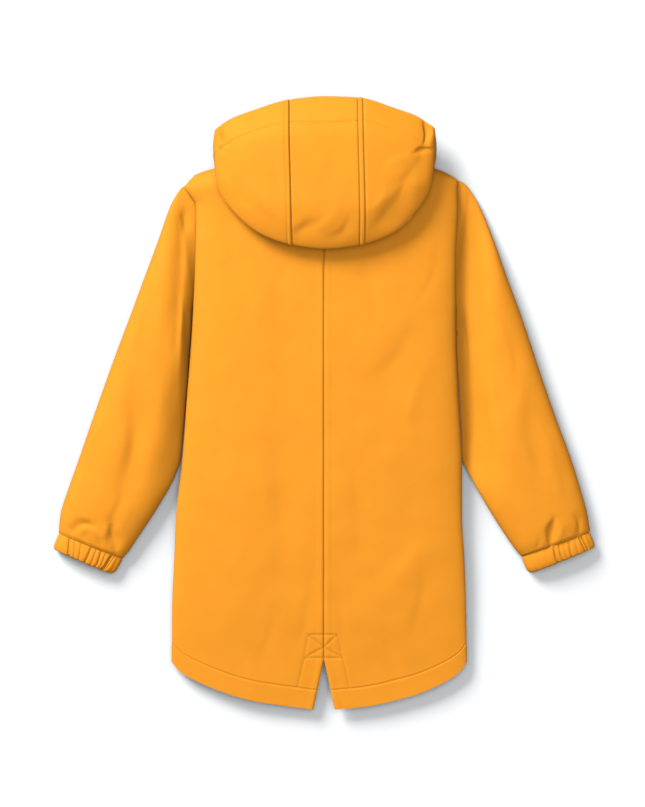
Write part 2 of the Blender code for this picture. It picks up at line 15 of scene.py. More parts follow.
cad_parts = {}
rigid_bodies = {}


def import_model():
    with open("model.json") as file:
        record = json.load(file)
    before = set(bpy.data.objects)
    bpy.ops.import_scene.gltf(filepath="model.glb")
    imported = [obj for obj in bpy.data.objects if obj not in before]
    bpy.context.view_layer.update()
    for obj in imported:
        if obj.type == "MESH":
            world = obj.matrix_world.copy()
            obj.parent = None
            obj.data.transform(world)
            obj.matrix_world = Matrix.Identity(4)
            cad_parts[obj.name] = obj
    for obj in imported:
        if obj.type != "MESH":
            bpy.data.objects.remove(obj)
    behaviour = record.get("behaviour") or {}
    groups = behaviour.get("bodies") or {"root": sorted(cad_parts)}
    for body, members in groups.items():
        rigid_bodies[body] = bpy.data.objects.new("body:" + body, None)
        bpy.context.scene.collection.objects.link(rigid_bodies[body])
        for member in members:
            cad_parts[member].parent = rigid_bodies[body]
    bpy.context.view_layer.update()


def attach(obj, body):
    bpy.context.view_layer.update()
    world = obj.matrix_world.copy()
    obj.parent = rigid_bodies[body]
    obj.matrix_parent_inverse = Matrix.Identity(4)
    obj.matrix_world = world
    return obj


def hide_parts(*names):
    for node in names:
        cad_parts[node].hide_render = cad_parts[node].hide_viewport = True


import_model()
bpy.ops.object.select_all(action="DESELECT")

MM = 0.001


# ---- Camera, floor and light ---------------------------------------------------------------------
# The camera looks straight down from far off, so that the high hood hardly grows. The garment lies on a
# white surface in soft light from the upper left, and its own folds keep a little shade on their lower
# right.

PHOTO_SIZE = (645, 807)
PIXEL = 1.2                     # size of one pixel of the photograph on the cloth
VIEW_CENTRE = (-1.8, -0.6)      # what lies in the middle of the picture
CAMERA_HEIGHT = 6.0
CLOTH_LEVEL = 0.02              # height at which a pixel has that size

camera = bpy.data.objects.new("camera", bpy.data.cameras.new("camera"))
camera.data.sensor_fit = "VERTICAL"
camera.data.sensor_height = 24.0
camera.data.lens = 24.0 * (CAMERA_HEIGHT - CLOTH_LEVEL) / (PHOTO_SIZE[1] * PIXEL * MM)
camera.data.clip_end = 50.0
camera.location = (VIEW_CENTRE[0] * MM, VIEW_CENTRE[1] * MM, CAMERA_HEIGHT)
bpy.context.scene.collection.objects.link(camera)
bpy.context.scene.camera = camera
bpy.context.scene.view_settings.view_transform = "Standard"
bpy.context.scene.cycles.diffuse_bounces = 0

bpy.ops.mesh.primitive_plane_add(size=12.0, location=(0, 0, -0.0004))
floor = bpy.context.object
floor.name = "floor"


def material(name, sockets):
    """A Principled material with values set on its sockets."""
    made = bpy.data.materials.new(name)
    made.use_nodes = True
    for socket, value in sockets.items():
        made.node_tree.nodes["Principled BSDF"].inputs[socket].default_value = value
    return made


floor.data.materials.append(material("white paper", {
    "Base Color": (0.96, 0.975, 0.985, 1),
    "Roughness": 0.9,
    "Specular IOR Level": 0.0,
}))


def soft_light(name, place, size, power):
    """A square lamp that faces the middle of the garment."""
    lamp = bpy.data.objects.new(name, bpy.data.lights.new(name, "AREA"))
    lamp.data.size = size
    lamp.data.energy = power
    lamp.location = place
    lamp.rotation_euler = Vector(place).to_track_quat("Z", "Y").to_euler()
    bpy.context.scene.collection.objects.link(lamp)


soft_light("window", (-3.3, 4.1, 3.3), 2.8, 450.0)
soft_light("fill", (0.3, 0.2, 4.2), 2.6, 62.0)
world = bpy.data.worlds.new("studio")
world.use_nodes = True
world.node_tree.nodes["Background"].inputs["Color"].default_value = (1, 1, 1, 1)
world.node_tree.nodes["Background"].inputs["Strength"].default_value = 0.27
bpy.context.scene.world = world


# ---- The back ------------------------------------------------------------------------------------
# Two halves of bonded softshell, woven outside and fleece inside, sewn down the middle with the
# allowances pressed apart. The seam ends in an open vent above the dipped hem. At each side the cloth
# folds under to the side seam.

def table(columns, *rows):
    """A table with named columns, as a dictionary of arrays."""
    return {name: np.array([row[i] for row in rows], float) for i, name in enumerate(columns.split())}


def smooth(places, values):
    """A curve through the values that never overshoots between two of them."""
    places, values = np.array(places, float), np.array(values, float)
    steps = np.diff(places)
    rises = np.diff(values) / steps
    before, after = rises[:-1], rises[1:]
    turning = before * after > 0
    inner = np.where(turning, 2 * before * after / np.where(turning, before + after, 1.0), 0.0)
    slopes = np.concatenate([rises[:1], inner, rises[-1:]])

    def curve(place):
        place = np.clip(place, places[0], places[-1])
        i = np.clip(np.searchsorted(places, place) - 1, 0, len(steps) - 1)
        t = (place - places[i]) / steps[i]
        return (values[i] * (1 + 2 * t) * (1 - t) ** 2 + slopes[i] * steps[i] * t * (1 - t) ** 2
                + values[i + 1] * t * t * (3 - 2 * t) + slopes[i + 1] * steps[i] * t * t * (t - 1))

    return curve


def column(data, name, places=None):
    """A table's column as a smooth curve over its first column, or over the places given."""
    return smooth(next(iter(data.values())) if places is None else places, data[name])


def ease(low, high, value):
    """0 below low, 1 above high and a smooth step between them."""
    t = np.clip((value - low) / (high - low), 0.0, 1.0)
    return t * t * (3 - 2 * t)


SIDES = {"left": -1, "right": 1}
BODY = table(
    "y       left   right  crown  edge",
    (-372, 184, 172, 15, 9),
    (-314, 183, 171.5, 19, 11),
    (-242, 182.4, 170.4, 26, 14),
    (-188, 180, 168.6, 30, 15),
    (-134, 177.6, 165.6, 33, 16),
    (-71, 170.4, 165.6, 36, 16),
    (10, 164.4, 161.4, 38, 16),
    (90, 158.4, 158.4, 38, 16),
    (170, 154.8, 158.4, 36, 15),
    (235, 153.6, 160.8, 33, 14),
    (275, 155, 159, 30, 13),
    (300, 155, 159, 29, 13),
)
SHOULDER_TIP = table(
    "y      left  right",
    (225.0, 0.0, 0.0),
    (238.0, 0.5, 0.0),
    (249.0, 7.0, 0.0),
    (259.0, 12.5, 0.4),
    (266.0, 8.0, 1.2),
    (275.0, 0.5, 0.2),
    (300.0, 0.0, 0.0),
)
BACK_HEM = table(
    "share left    right",
    (0.00, -368.2, -368.2),
    (0.22, -363.4, -365.0),
    (0.36, -360.0, -361.2),
    (0.48, -355.9, -356.4),
    (0.62, -348.9, -350.4),
    (0.87, -330.6, -332.4),
    (0.96, -320.2, -321.0),
    (1.00, -311.0, -311.0),
)
BACK_TOP = table(
    "share left   right",
    (0.00, 284.4, 284.4),
    (0.20, 286.0, 286.0),
    (0.36, 290.0, 290.0),
    (0.47, 294.5, 294.5),
    (0.65, 289.0, 288.5),
    (0.84, 282.3, 281.6),
    (0.93, 278.5, 276.0),
    (1.00, 274.0, 269.0),
)
WALL = 1.6                      # thickness of the bonded cloth
SEAM_GAP = 0.15                 # half the gap at a seam
NECK_SHARE = 0.47               # the top of the shoulder seam, as a share of the half width
CROWN_POWER = 2.6
SIDE_SEAM_TURN, ARMHOLE_TURN = 40.0, 10.0
ARMHOLE_TUCK = 14.0
ARMHOLE_LOW, ARMHOLE_HIGH, ARMHOLE_EASE = 85.0, 256.0, 24.0
SHOULDER_SEAM_Z, SHOULDER_ROLL = 9.5, 26.0
VENT_TOP, VENT_FOOT, VENT_HALF = -308.4, -368.0, 12.6
HEM_DEPTH = 24.0                # from the hem's fold to its stitching
BACK_LENGTH = 650.0

# What the cloth does on the way: troughs (or ridges, where the depth is negative) from one place to
# another, bent to one side, and wider on one flank than on the other.
BACK_CREASES = table(
    "x0      y0      x1      y1      bend   width  depth  lean",
    (124.8, 250.8, 93.6, 176.4, 6, 14, 2.2, 1.3),
    (120, 100.8, 55.2, 20.4, 5, 18, 2, 1.4),
    (146.4, -151, 67, -248, -6, 20, -1.8, 1.2),
    (-132, 235, -105.6, 154.8, 5, 14, 2, 1.3),
    (-51.6, 111.6, -51.6, -204, 4, 20, 1.6, 1.2),
    (-120, -60, -96, -190, 6, 20, -1.6, 1.3),
    (138, 205, 112, 120, 8, 7, 0.9, 1.5),
    (132, 60, 98, -40, -7, 9, -0.9, 1.4),
    (30, 205, 62, 96, 8, 12, 0.8, 1.3),
    (-28, 190, -74, 60, -10, 12, 0.7, 1.4),
    (-140, 60, -124, -60, 5, 9, 0.9, 1.5),
    (-92, -30, -66, -150, 6, 9, -0.6, 1.3),
    (28, -60, 46, -190, 6, 12, 0.7, 1.3),
    (120, -180, 104, -280, 6, 9, 0.8, 1.4),
    (-150, -150, -132, -262, -6, 9, 0.8, 1.3),
    (-60, -250, -84, -330, 4, 8, 0.6, 1.4),
    (66, -262, 84, -328, 4, 8, 0.6, 1.4),
    (-14, -200, -30, -290, 3, 7, 0.6, 1.3),
    (12, -214, 22, -300, 3, 7, 0.5, 1.3),
)

edge_line = {side: column(BODY, side) for side in SIDES}
tip_line = {side: column(SHOULDER_TIP, side) for side in SIDES}
top_line = {side: column(BACK_TOP, side) for side in SIDES}
crown_line, edge_height = column(BODY, "crown"), column(BODY, "edge")
back_hem = {side: column(BACK_HEM, side) for side in SIDES}


def edge(side, y):
    """Distance of the body's folded edge from the middle."""
    return edge_line[side](y) + tip_line[side](y)


def past_underarm(y):
    """0 along the side seam and 1 above the underarm."""
    return ease(ARMHOLE_LOW, ARMHOLE_LOW + ARMHOLE_EASE, y)


def armhole(y):
    """1 along the armhole and 0 above and below it."""
    return past_underarm(y) * (1 - ease(ARMHOLE_HIGH - ARMHOLE_EASE, ARMHOLE_HIGH, y))


def back_height(share, y, below_top):
    """Height of the back at a share of its half width, with its roll down to the shoulder seam."""
    low = edge_height(y)
    high = low + (crown_line(y) - low) * np.maximum(1 - share ** CROWN_POWER, 0.0) ** (1 / CROWN_POWER)
    rolled = ease(NECK_SHARE - 0.12, NECK_SHARE + 0.05, share) * (below_top < SHOULDER_ROLL)
    down = np.clip(1 - below_top / SHOULDER_ROLL, 0.0, 1.0)
    seam = np.minimum(SHOULDER_SEAM_Z, high)
    return high + (seam + (high - seam) * np.sqrt(1 - down ** 2) - high) * rolled


def sunk_by(data, x, y):
    """How far the creases sink the cloth at places in plan."""
    depth = np.zeros(np.broadcast(x, y).shape)
    for x0, y0, x1, y1, bend, width, deep, lean in zip(*data.values()):
        length = math.hypot(x1 - x0, y1 - y0)
        ax, ay = (x1 - x0) / length, (y1 - y0) / length
        t = ((x - x0) * ax + (y - y0) * ay) / length
        inside = np.clip(t, 0.0, 1.0)
        across = (y - y0) * ax - (x - x0) * ay - bend * np.sin(math.pi * inside)
        beyond = (t - inside) * length
        uneven = 1 + 0.22 * np.sin(2.3 * math.pi * inside + x0)
        flank = np.where(across > 0, width * lean, width / lean) * uneven
        swell = 0.3 + 0.7 * np.sin(math.pi * inside) ** 0.8
        depth += deep * swell * np.exp(-(across / flank) ** 2 - (beyond / width) ** 2)
    return depth


SLACK_WAVES = (150.0, 104.0, 76.0, 58.0, 43.0, 33.0)
SLACK_STEEPNESS = 0.62 / 300.0  # height of a wave as a share of its length
SLACK_TURN = 2.4                # radians from one wave's way to the next one's


def slack(x, y, seed):
    """The slight unevenness of cloth that has been worn and folded, in millimetres."""
    height = np.zeros(np.broadcast(x, y).shape)
    for i, wave in enumerate(SLACK_WAVES):
        turn = SLACK_TURN * i + seed
        place = x * math.cos(turn) + y * math.sin(turn)
        height += wave * SLACK_STEEPNESS * np.sin(2 * math.pi * place / wave + 3.1 * seed * i)
    return height


def groove(distance, depth, width):
    """Depth of what a seam or a line of stitches presses into the cloth."""
    return depth * np.exp(-(distance / width) ** 2)


def normals(grid, up_cell, up, closed=False):
    """Unit normals of a grid of points, turned so that the given cell faces up or down."""
    if closed:
        across = np.roll(grid, -1, axis=1) - np.roll(grid, 1, axis=1)
    else:
        across = np.gradient(grid, axis=1)
    normal = np.cross(np.gradient(grid, axis=0), across)
    normal /= np.maximum(np.linalg.norm(normal, axis=2, keepdims=True), 1e-9)
    return normal if (normal[up_cell][2] > 0) == up else -normal


def noise(made, place, scale, detail):
    """Noise in a material, over its object's own coordinates."""
    node = made.node_tree.nodes.new("ShaderNodeTexNoise")
    node.inputs["Scale"].default_value = scale
    node.inputs["Detail"].default_value = detail
    made.node_tree.links.new(place.outputs["Object"], node.inputs["Vector"])
    return node.outputs["Fac"]


def bumped(made, height, strength, distance, below=None):
    """Normals with the relief of a height, laid over other normals where they are given."""
    node = made.node_tree.nodes.new("ShaderNodeBump")
    node.inputs["Strength"].default_value = strength
    node.inputs["Distance"].default_value = distance
    made.node_tree.links.new(height, node.inputs["Height"])
    if below:
        made.node_tree.links.new(below, node.inputs["Normal"])
    return node.outputs["Normal"]


def woven(name, yellow, deep_yellow, roughness=0.72):
    """Softshell's outer face: a tight plain weave with a little mottling."""
    made = material(name, {
        "Roughness": roughness,
        "Specular IOR Level": 0.15,
        "Sheen Weight": 0.05,
        "Sheen Roughness": 0.45,
        "Sheen Tint": (1.0, 0.8, 0.5, 1),
    })
    nodes, links = made.node_tree.nodes, made.node_tree.links
    shader = nodes["Principled BSDF"]
    place = nodes.new("ShaderNodeTexCoord")
    tones = nodes.new("ShaderNodeValToRGB")
    tones.color_ramp.elements[0].position = 0.32
    tones.color_ramp.elements[0].color = (*deep_yellow, 1)
    tones.color_ramp.elements[1].position = 0.68
    tones.color_ramp.elements[1].color = (*yellow, 1)
    links.new(noise(made, place, 38.0, 4.0), tones.inputs["Fac"])
    links.new(tones.outputs["Color"], shader.inputs["Base Color"])
    weave = nodes.new("ShaderNodeMath")
    weave.operation = "MULTIPLY"
    for i, direction in enumerate(("X", "Y")):
        wave = nodes.new("ShaderNodeTexWave")
        wave.bands_direction = direction
        wave.inputs["Scale"].default_value = THREAD_WAVES
        wave.inputs["Distortion"].default_value = 0.6
        wave.inputs["Detail"].default_value = 1.0
        links.new(place.outputs["UV"], wave.inputs["Vector"])
        links.new(wave.outputs["Fac"], weave.inputs[i])
    grain = bumped(made, weave.outputs[0], 0.35, 0.00012)
    rumpled = bumped(made, noise(made, place, 240.0, 2.0), 0.25, 0.0003, grain)
    links.new(rumpled, shader.inputs["Normal"])
    return made


def fleece(name, tone):
    """Softshell's inner face: short brushed pile."""
    made = material(name, {"Base Color": (*tone, 1), "Roughness": 0.95, "Sheen Weight": 0.4})
    place = made.node_tree.nodes.new("ShaderNodeTexCoord")
    tufts = bumped(made, noise(made, place, 900.0, 6.0), 0.6, 0.0006)
    made.node_tree.links.new(tufts, made.node_tree.nodes["Principled BSDF"].inputs["Normal"])
    return made


THREAD_WAVES = 0.314 / 0.0007   # one wave for each 0.7 mm of the weave
face_cloth = woven("softshell face", (0.9, 0.325, 0.018), (0.88, 0.31, 0.016))
pile_cloth = fleece("softshell fleece", (0.84, 0.31, 0.03))


def walked(grid, axis):
    """Length walked along a grid of points from its first row or column, in millimetres."""
    steps = np.linalg.norm(np.diff(grid, axis=axis), axis=2)
    return np.cumsum(np.pad(steps, ((1, 0), (0, 0)) if axis == 0 else ((0, 0), (1, 0))), axis=axis)


def cells(rows, columns, closed=False):
    """The four corners of each cell in a grid of points, as the points' numbers."""
    i, j = np.meshgrid(np.arange(rows - 1), np.arange(columns if closed else columns - 1), indexing="ij")
    k = (j + 1) % columns
    low, high = i * columns, (i + 1) * columns
    return np.stack([low + j, low + k, high + k, high + j], axis=-1).reshape(-1, 4)


def lay_cloth(name, grid, facing, closed=False, wall=WALL):
    """A wall of cloth behind a grid of points, with rounded rims, from the woven face inwards."""
    faces = cells(*grid.shape[:2], closed)
    up_cell, up = facing
    ring = np.concatenate([grid, grid[:, :1]], axis=1) if closed else grid
    spread = np.stack([walked(ring, 1), walked(ring, 0)], axis=-1) * MM
    corners = np.stack([spread[:-1, :-1], spread[:-1, 1:], spread[1:, 1:], spread[1:, :-1]], axis=2)
    corners = corners.reshape(-1, 4, 2)
    cell = up_cell[0] * (ring.shape[1] - 1) + up_cell[1]
    a, b, c, d = grid.reshape(-1, 3)[faces[cell]]
    if (np.cross(c - a, d - b)[2] > 0) != up:
        faces, corners = faces[:, ::-1], corners[:, ::-1]
    mesh = bpy.data.meshes.new(name)
    mesh.from_pydata((grid.reshape(-1, 3) * MM).tolist(), [], faces.tolist())
    mesh.uv_layers.new(name="weave").data.foreach_set("uv", np.ascontiguousarray(corners).ravel())
    mesh.polygons.foreach_set("use_smooth", [True] * len(mesh.polygons))
    mesh.materials.append(face_cloth)
    mesh.materials.append(pile_cloth)
    piece = bpy.data.objects.new(name, mesh)
    bpy.context.scene.collection.objects.link(piece)
    thick = piece.modifiers.new("wall", "SOLIDIFY")
    thick.thickness = wall * MM
    thick.offset = -1
    thick.material_offset = 1
    thick.material_offset_rim = 0
    rim = piece.modifiers.new("rim", "BEVEL")
    rim.limit_method = "ANGLE"
    rim.angle_limit = math.radians(62)
    rim.width = wall * 0.3 * MM
    rim.segments = 2
    return piece


def back_grid(side, rows):
    """A back half: a line for each row, from the middle seam over the fold to the side seam or armhole."""
    out = SIDES[side]
    share, row = BACK_SHARES[None, :], rows[:, None]
    top, hem = top_line[side](share), back_hem[side](share)
    y = hem + (top - hem) * row
    inner = SEAM_GAP + VENT_HALF * np.maximum((VENT_TOP - y) / (VENT_TOP - VENT_FOOT), 0.0)
    x = inner + (edge(side, y) - inner) * share
    slope = (1 - share ** 4) * ease(0.0, SHOULDER_ROLL, top - y)
    z = back_height(share, y, top - y) - sunk_by(BACK_CREASES, out * x, y) * slope
    z += slack(out * x, y, 1.0 + out) * slope
    fold_x, fold_y, fold_z = x[:, -1:], y[:, -1:], z[:, -1:]
    turned = SIDE_SEAM_TURN + (ARMHOLE_TURN - SIDE_SEAM_TURN) * past_underarm(fold_y)
    turn = np.radians(turned) * BACK_TURNS[None, :]
    under = np.stack([fold_x - fold_z * (1 - np.cos(turn)), fold_y + 0 * turn,
                      fold_z * (1 - np.sin(turn))], axis=-1)
    grid = np.concatenate([np.stack([x, y, z], axis=-1), under], axis=1)
    grid[..., 0] *= out
    return grid


FAR_ABOVE = 200.0


def dropped(grid, places):
    """Points and normals where upright lines through places in plan meet a grid of points."""
    tree = BVHTree.FromPolygons(grid.reshape(-1, 3).tolist(), cells(*grid.shape[:2]).tolist())
    found = [tree.ray_cast(Vector((x, y, FAR_ABOVE)), Vector((0, 0, -1)))[:2] for x, y in places]
    found = [(p, n if n.z > 0 else -n) for p, n in found if p is not None]
    return np.array([p[:] for p, n in found]), np.array([n[:] for p, n in found])


def between(start, end, count=24):
    """Evenly spaced places in plan from one to another."""
    return [(start[0] + (end[0] - start[0]) * i / count, start[1] + (end[1] - start[1]) * i / count)
            for i in range(count + 1)]


STITCH_PITCH, STITCH_LENGTH, THREAD_WIDTH = 3.3, 2.7, 0.62
STITCH_REACH = 0.8              # from a stitch's middle to where its direction is read
# A stitch from end to end: share of its length, share of its width, and how high it stands.
STITCH_FORM = ((-0.5, 0.35, -0.28), (-0.3, 0.9, 0.02), (0.3, 0.9, 0.02), (0.5, 0.35, -0.28))
THREAD_FACETS = 6
thread = woven("sewing thread", (0.86, 0.3, 0.016), (0.8, 0.27, 0.014), roughness=0.5)


def threads(name, frames, form, length, width, finish):
    """One piece of many short threads, each the same form along a frame: centre, way along, up and aside."""
    points, faces = [], []
    spin = 2 * math.pi * np.arange(THREAD_FACETS) / THREAD_FACETS
    for centre, along, up, aside in frames:
        first = len(points)
        for share, thick, high in form:
            for turn in spin:
                points.append(centre + along * share * length + up * high
                              + (aside * math.cos(turn) + up * math.sin(turn)) * thick * width / 2)
        faces.extend((first + cells(len(form), THREAD_FACETS, closed=True)).tolist())
        faces.append([first + k for k in range(THREAD_FACETS)])
        faces.append([first + (len(form) - 1) * THREAD_FACETS + k for k in range(THREAD_FACETS)])
    mesh = bpy.data.meshes.new(name)
    mesh.from_pydata((np.array(points) * MM).tolist(), [], faces)
    mesh.uv_layers.new(name="weave")
    shape = bmesh.new()
    shape.from_mesh(mesh)
    bmesh.ops.recalc_face_normals(shape, faces=shape.faces)
    shape.to_mesh(mesh)
    shape.free()
    mesh.polygons.foreach_set("use_smooth", [True] * len(mesh.polygons))
    mesh.materials.append(finish)
    piece = bpy.data.objects.new(name, mesh)
    bpy.context.scene.collection.objects.link(piece)
    return piece


def sew(name, lines):
    """One piece with the stitches along lines, each a pair of arrays: points on the cloth and normals."""
    frames = []
    for line, normal in lines:
        run = np.concatenate([[0.0], np.cumsum(np.linalg.norm(np.diff(line, axis=0), axis=1))])
        count = max(int(run[-1] / STITCH_PITCH), 1)
        middles = (np.arange(count) + 0.5) * run[-1] / count

        def read(data, places):
            return np.stack([np.interp(places, run, data[:, i]) for i in range(3)], axis=-1)

        along = read(line, middles + STITCH_REACH) - read(line, middles - STITCH_REACH)
        along /= np.linalg.norm(along, axis=1, keepdims=True)
        aside = np.cross(along, read(normal, middles))
        aside /= np.linalg.norm(aside, axis=1, keepdims=True)
        frames.extend(zip(read(line, middles), along, np.cross(aside, along), aside))
    piece = threads(name, frames, STITCH_FORM, STITCH_LENGTH, THREAD_WIDTH, thread)
    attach(piece, "garment")
    return piece


def across_rows(grid, normal, distance, first, last):
    """A line on the cloth between two columns, at one distance from its first row or one for each."""
    run, distance = walked(grid, 0), np.broadcast_to(distance, grid.shape[1])
    return [np.array([[np.interp(distance[j], run[:, j], data[:, j, i]) for i in range(3)]
                      for j in range(first, last)]) for data in (grid, normal)]


def down_columns(grid, normal, distance, first, last):
    """A line on the cloth between two rows, at a distance from its first column."""
    return across_rows(np.swapaxes(grid, 0, 1), np.swapaxes(normal, 0, 1), distance, first, last)


# Columns are even over the flat of the back and closer where it rolls over the fold. The first ones bring
# out the seam, and the rows do so for the hem's stitching.
FLAT_SHARE = 0.8
SEAM_SHARES = (0.0, 0.0025, 0.006, 0.011, 0.018, 0.026)
roll = np.linspace(math.asin(FLAT_SHARE ** (CROWN_POWER / 2)), math.pi / 2, 24)[1:]
BACK_SHARES = np.concatenate([SEAM_SHARES, np.linspace(0.034, 0.19, 19), np.linspace(0.205, FLAT_SHARE, 42),
                              np.sin(roll) ** (2 / CROWN_POWER)])
BACK_TURNS = np.linspace(0.0, 1.0, 12)[1:]
stitch_row = HEM_DEPTH / BACK_LENGTH
BACK_ROWS = np.unique(np.concatenate([
    np.linspace(0.0, 0.15, 108), np.linspace(0.15, 1.0, 168), (0.0004, 0.0009),
    stitch_row + np.array((-0.0017, -0.001, -0.0004, 0.0004, 0.001, 0.0017))]))

# The vent is held by a crossed box of stitching, wider below, and its facings by a line down to the hem's
# stitching. Each is a path in plan on its half of the back.
BOX_TOP, BOX_FOOT = -278.2, -306.0
BOX_CROSS = {"down": -292.4, "up": -293.6}  # where the box's diagonals reach the middle
VENT_CORNERS = {
    "left": {"middle": -0.9, "top": -19.2, "foot": -24.0, "hem": (-31.4, -340.6)},
    "right": {"middle": 0.9, "top": 15.6, "foot": 22.3, "hem": (30.2, -341.4)},
}


def vent_sewing(middle, top, foot, hem):
    """The paths of stitching on one side of the vent."""
    box = [(middle, BOX_TOP), (top, BOX_TOP), (foot, BOX_FOOT), (middle, BOX_FOOT)]
    return box, [box[2], hem], [box[1], (middle, BOX_CROSS["down"])], [box[2], (middle, BOX_CROSS["up"])]


def beside_lines(grid, paths):
    """Distance in plan from the nearest of some paths."""
    x, y = grid[..., 0], grid[..., 1]
    near = np.full(x.shape, np.inf)
    for path in paths:
        for (x0, y0), (x1, y1) in zip(path, path[1:]):
            length = (x1 - x0) ** 2 + (y1 - y0) ** 2
            t = np.clip(((x - x0) * (x1 - x0) + (y - y0) * (y1 - y0)) / length, 0.0, 1.0)
            near = np.minimum(near, np.hypot(x - x0 - t * (x1 - x0), y - y0 - t * (y1 - y0)))
    return near


def cut_piece(node, slot, grid, facing, stitched=None, closed=False, wall=WALL, **cut):
    """A piece of cloth in its solid's place, with the stitches along its lines; the cut that it states is not
    used.
    """
    cloth = lay_cloth(f"{node}_cloth", grid, facing, closed, wall)
    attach(cloth, "garment")
    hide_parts(node)
    if stitched:
        cut["with_pieces"] = [sew(f"{node}_sewing", stitched)]
    return cloth


DOUBLED = 0.3                   # how much a layer underneath raises the cloth
ALLOWANCE_END = (5.0, 9.0)      # from the middle seam to where its pressed allowance ends
SEAM_GROOVE, HEM_GROOVE, VENT_GROOVE = (1.3, 1.1), (0.75, 1.1), (0.7, 1.3)  # depth and width
LYING_UNDER = 6.0               # what turns under at the side lies lower than this
for side in SIDES:
    grid = back_grid(side, BACK_ROWS)
    facing = ((len(BACK_ROWS) // 2, 8), True)
    normal = normals(grid, *facing)
    # The seam is pressed open: its edge dips in, and the allowance shows as a faint step. The hem is doubled
    # up to its stitching, which dents it, as the vent's does.
    from_seam, from_hem, sewn = walked(grid, 1), walked(grid, 0), vent_sewing(**VENT_CORNERS[side])
    relief = DOUBLED * (1 - ease(*ALLOWANCE_END, from_seam)) - groove(from_seam, *SEAM_GROOVE)
    relief += DOUBLED * (1 - ease(HEM_DEPTH - 0.5, HEM_DEPTH + 3.5, from_hem))
    relief -= groove(from_hem - HEM_DEPTH, *HEM_GROOVE)
    relief -= groove(beside_lines(grid, sewn), *VENT_GROOVE) * (grid[..., 2] > LYING_UNDER)
    grid = grid + normal * relief[..., None]
    normal = normals(grid, *facing)
    lines = [across_rows(grid, normal, HEM_DEPTH, 4, len(BACK_SHARES) + 4)]
    for path in sewn:
        for start, end in zip(path, path[1:]):
            lines.append(dropped(grid, between(start, end)))
    cut_piece(f"back_{side}", "softshell", grid, facing, lines,
              flat=(0.205, 0.66), area=0.116, rests_on=[f"front_{side}"])


# ---- The fronts ----------------------------------------------------------------------------------
# Two plain fronts of the same cloth, under the back and flat on the surface. Each turns up at its side to
# meet the back in the side seam, and its front edge is turned in and topstitched beside the zip.

FRONT_HEM = table(
    "share y",
    (0.00, -290.0),
    (0.60, -294.0),
    (0.90, -304.0),
    (1.00, -311.0),
)
FRONT_NECK = table(
    "share y",
    (0.00, 236.0),
    (0.12, 239.0),
    (0.26, 251.0),
    (0.39, 271.0),
    (0.47, 294.5),
)
ZIP_HALF_GAP = 5.0
FRONT_ROLL, FRONT_SHOULDER_Z = 20.0, 4.9
ZIP_STITCHING = 6.5             # from the front's edge at the zip to its topstitching
FRONT_HEM_GROOVE, ZIP_GROOVE = (0.5, 1.3), (0.5, 1.1)
# The creases lift the cloth off the surface, so only troughs are given.
FRONT_CREASES = table(
    "x0      y0      x1      y1      bend   width  depth  lean",
    (-40, 180, -96, 60, 8, 12, 1.8, 1.3),
    (-130, 120, -92, -20, -8, 14, 2, 1.4),
    (-60, -40, -84, -190, 6, 12, 1.5, 1.3),
    (-128, -120, -110, -250, -5, 10, 1.3, 1.3),
    (34, 190, 78, 92, -7, 12, 1.7, 1.4),
    (122, 150, 88, 10, 8, 14, 2.1, 1.3),
    (54, -30, 96, -150, -7, 12, 1.6, 1.4),
    (128, -110, 104, -240, 5, 10, 1.3, 1.3),
)
front_hem, front_neck = column(FRONT_HEM, "y"), column(FRONT_NECK, "y")


def front_x(side, share, y):
    """Distance from the middle of a share of the front's flat width."""
    flat = edge(side, y) - np.maximum(edge_height(y), ARMHOLE_TUCK * armhole(y))
    return ZIP_HALF_GAP + (flat - ZIP_HALF_GAP) * share


def front_grid(side, rows):
    """A front, from the zip to the side, where it turns up to the side seam."""
    share, row = FRONT_SHARES[None, :], rows[:, None]
    side_top = top_line[side](np.array([[1.0]]))
    side_y = front_hem(1.0) + (side_top - front_hem(1.0)) * row
    top = np.where(share < NECK_SHARE, front_neck(share), top_line[side](share))
    y = front_hem(share) + (top - front_hem(share)) * row
    x = front_x(side, share, y)
    lifted = 1 - np.minimum((top - y) / FRONT_ROLL, 1.0)
    z = FRONT_SHOULDER_Z * lifted ** 2 * ease(NECK_SHARE - 0.1, NECK_SHARE + 0.1, share)
    x_end, y_end, z_end = x[:, -1:], y[:, -1:], z[:, -1:]
    height, open_arm = edge_height(side_y), armhole(side_y)
    seam_angle = math.radians(SIDE_SEAM_TURN + 2)
    part = FRONT_TURNS[None, :]
    angle = seam_angle + (math.pi / 2 - seam_angle) * part
    reach = height * np.cos(angle) * (1 - open_arm) + 0.9 * (1 - part) * open_arm
    rise = height * (1 - np.sin(angle)) * (1 - past_underarm(y_end))
    turned = np.stack([x_end + reach, y_end + 0 * reach, np.maximum(z_end, rise)], axis=-1)
    grid = np.concatenate([np.stack([x, y, z], axis=-1), turned], axis=1)
    grid[..., 0] *= SIDES[side]
    return grid


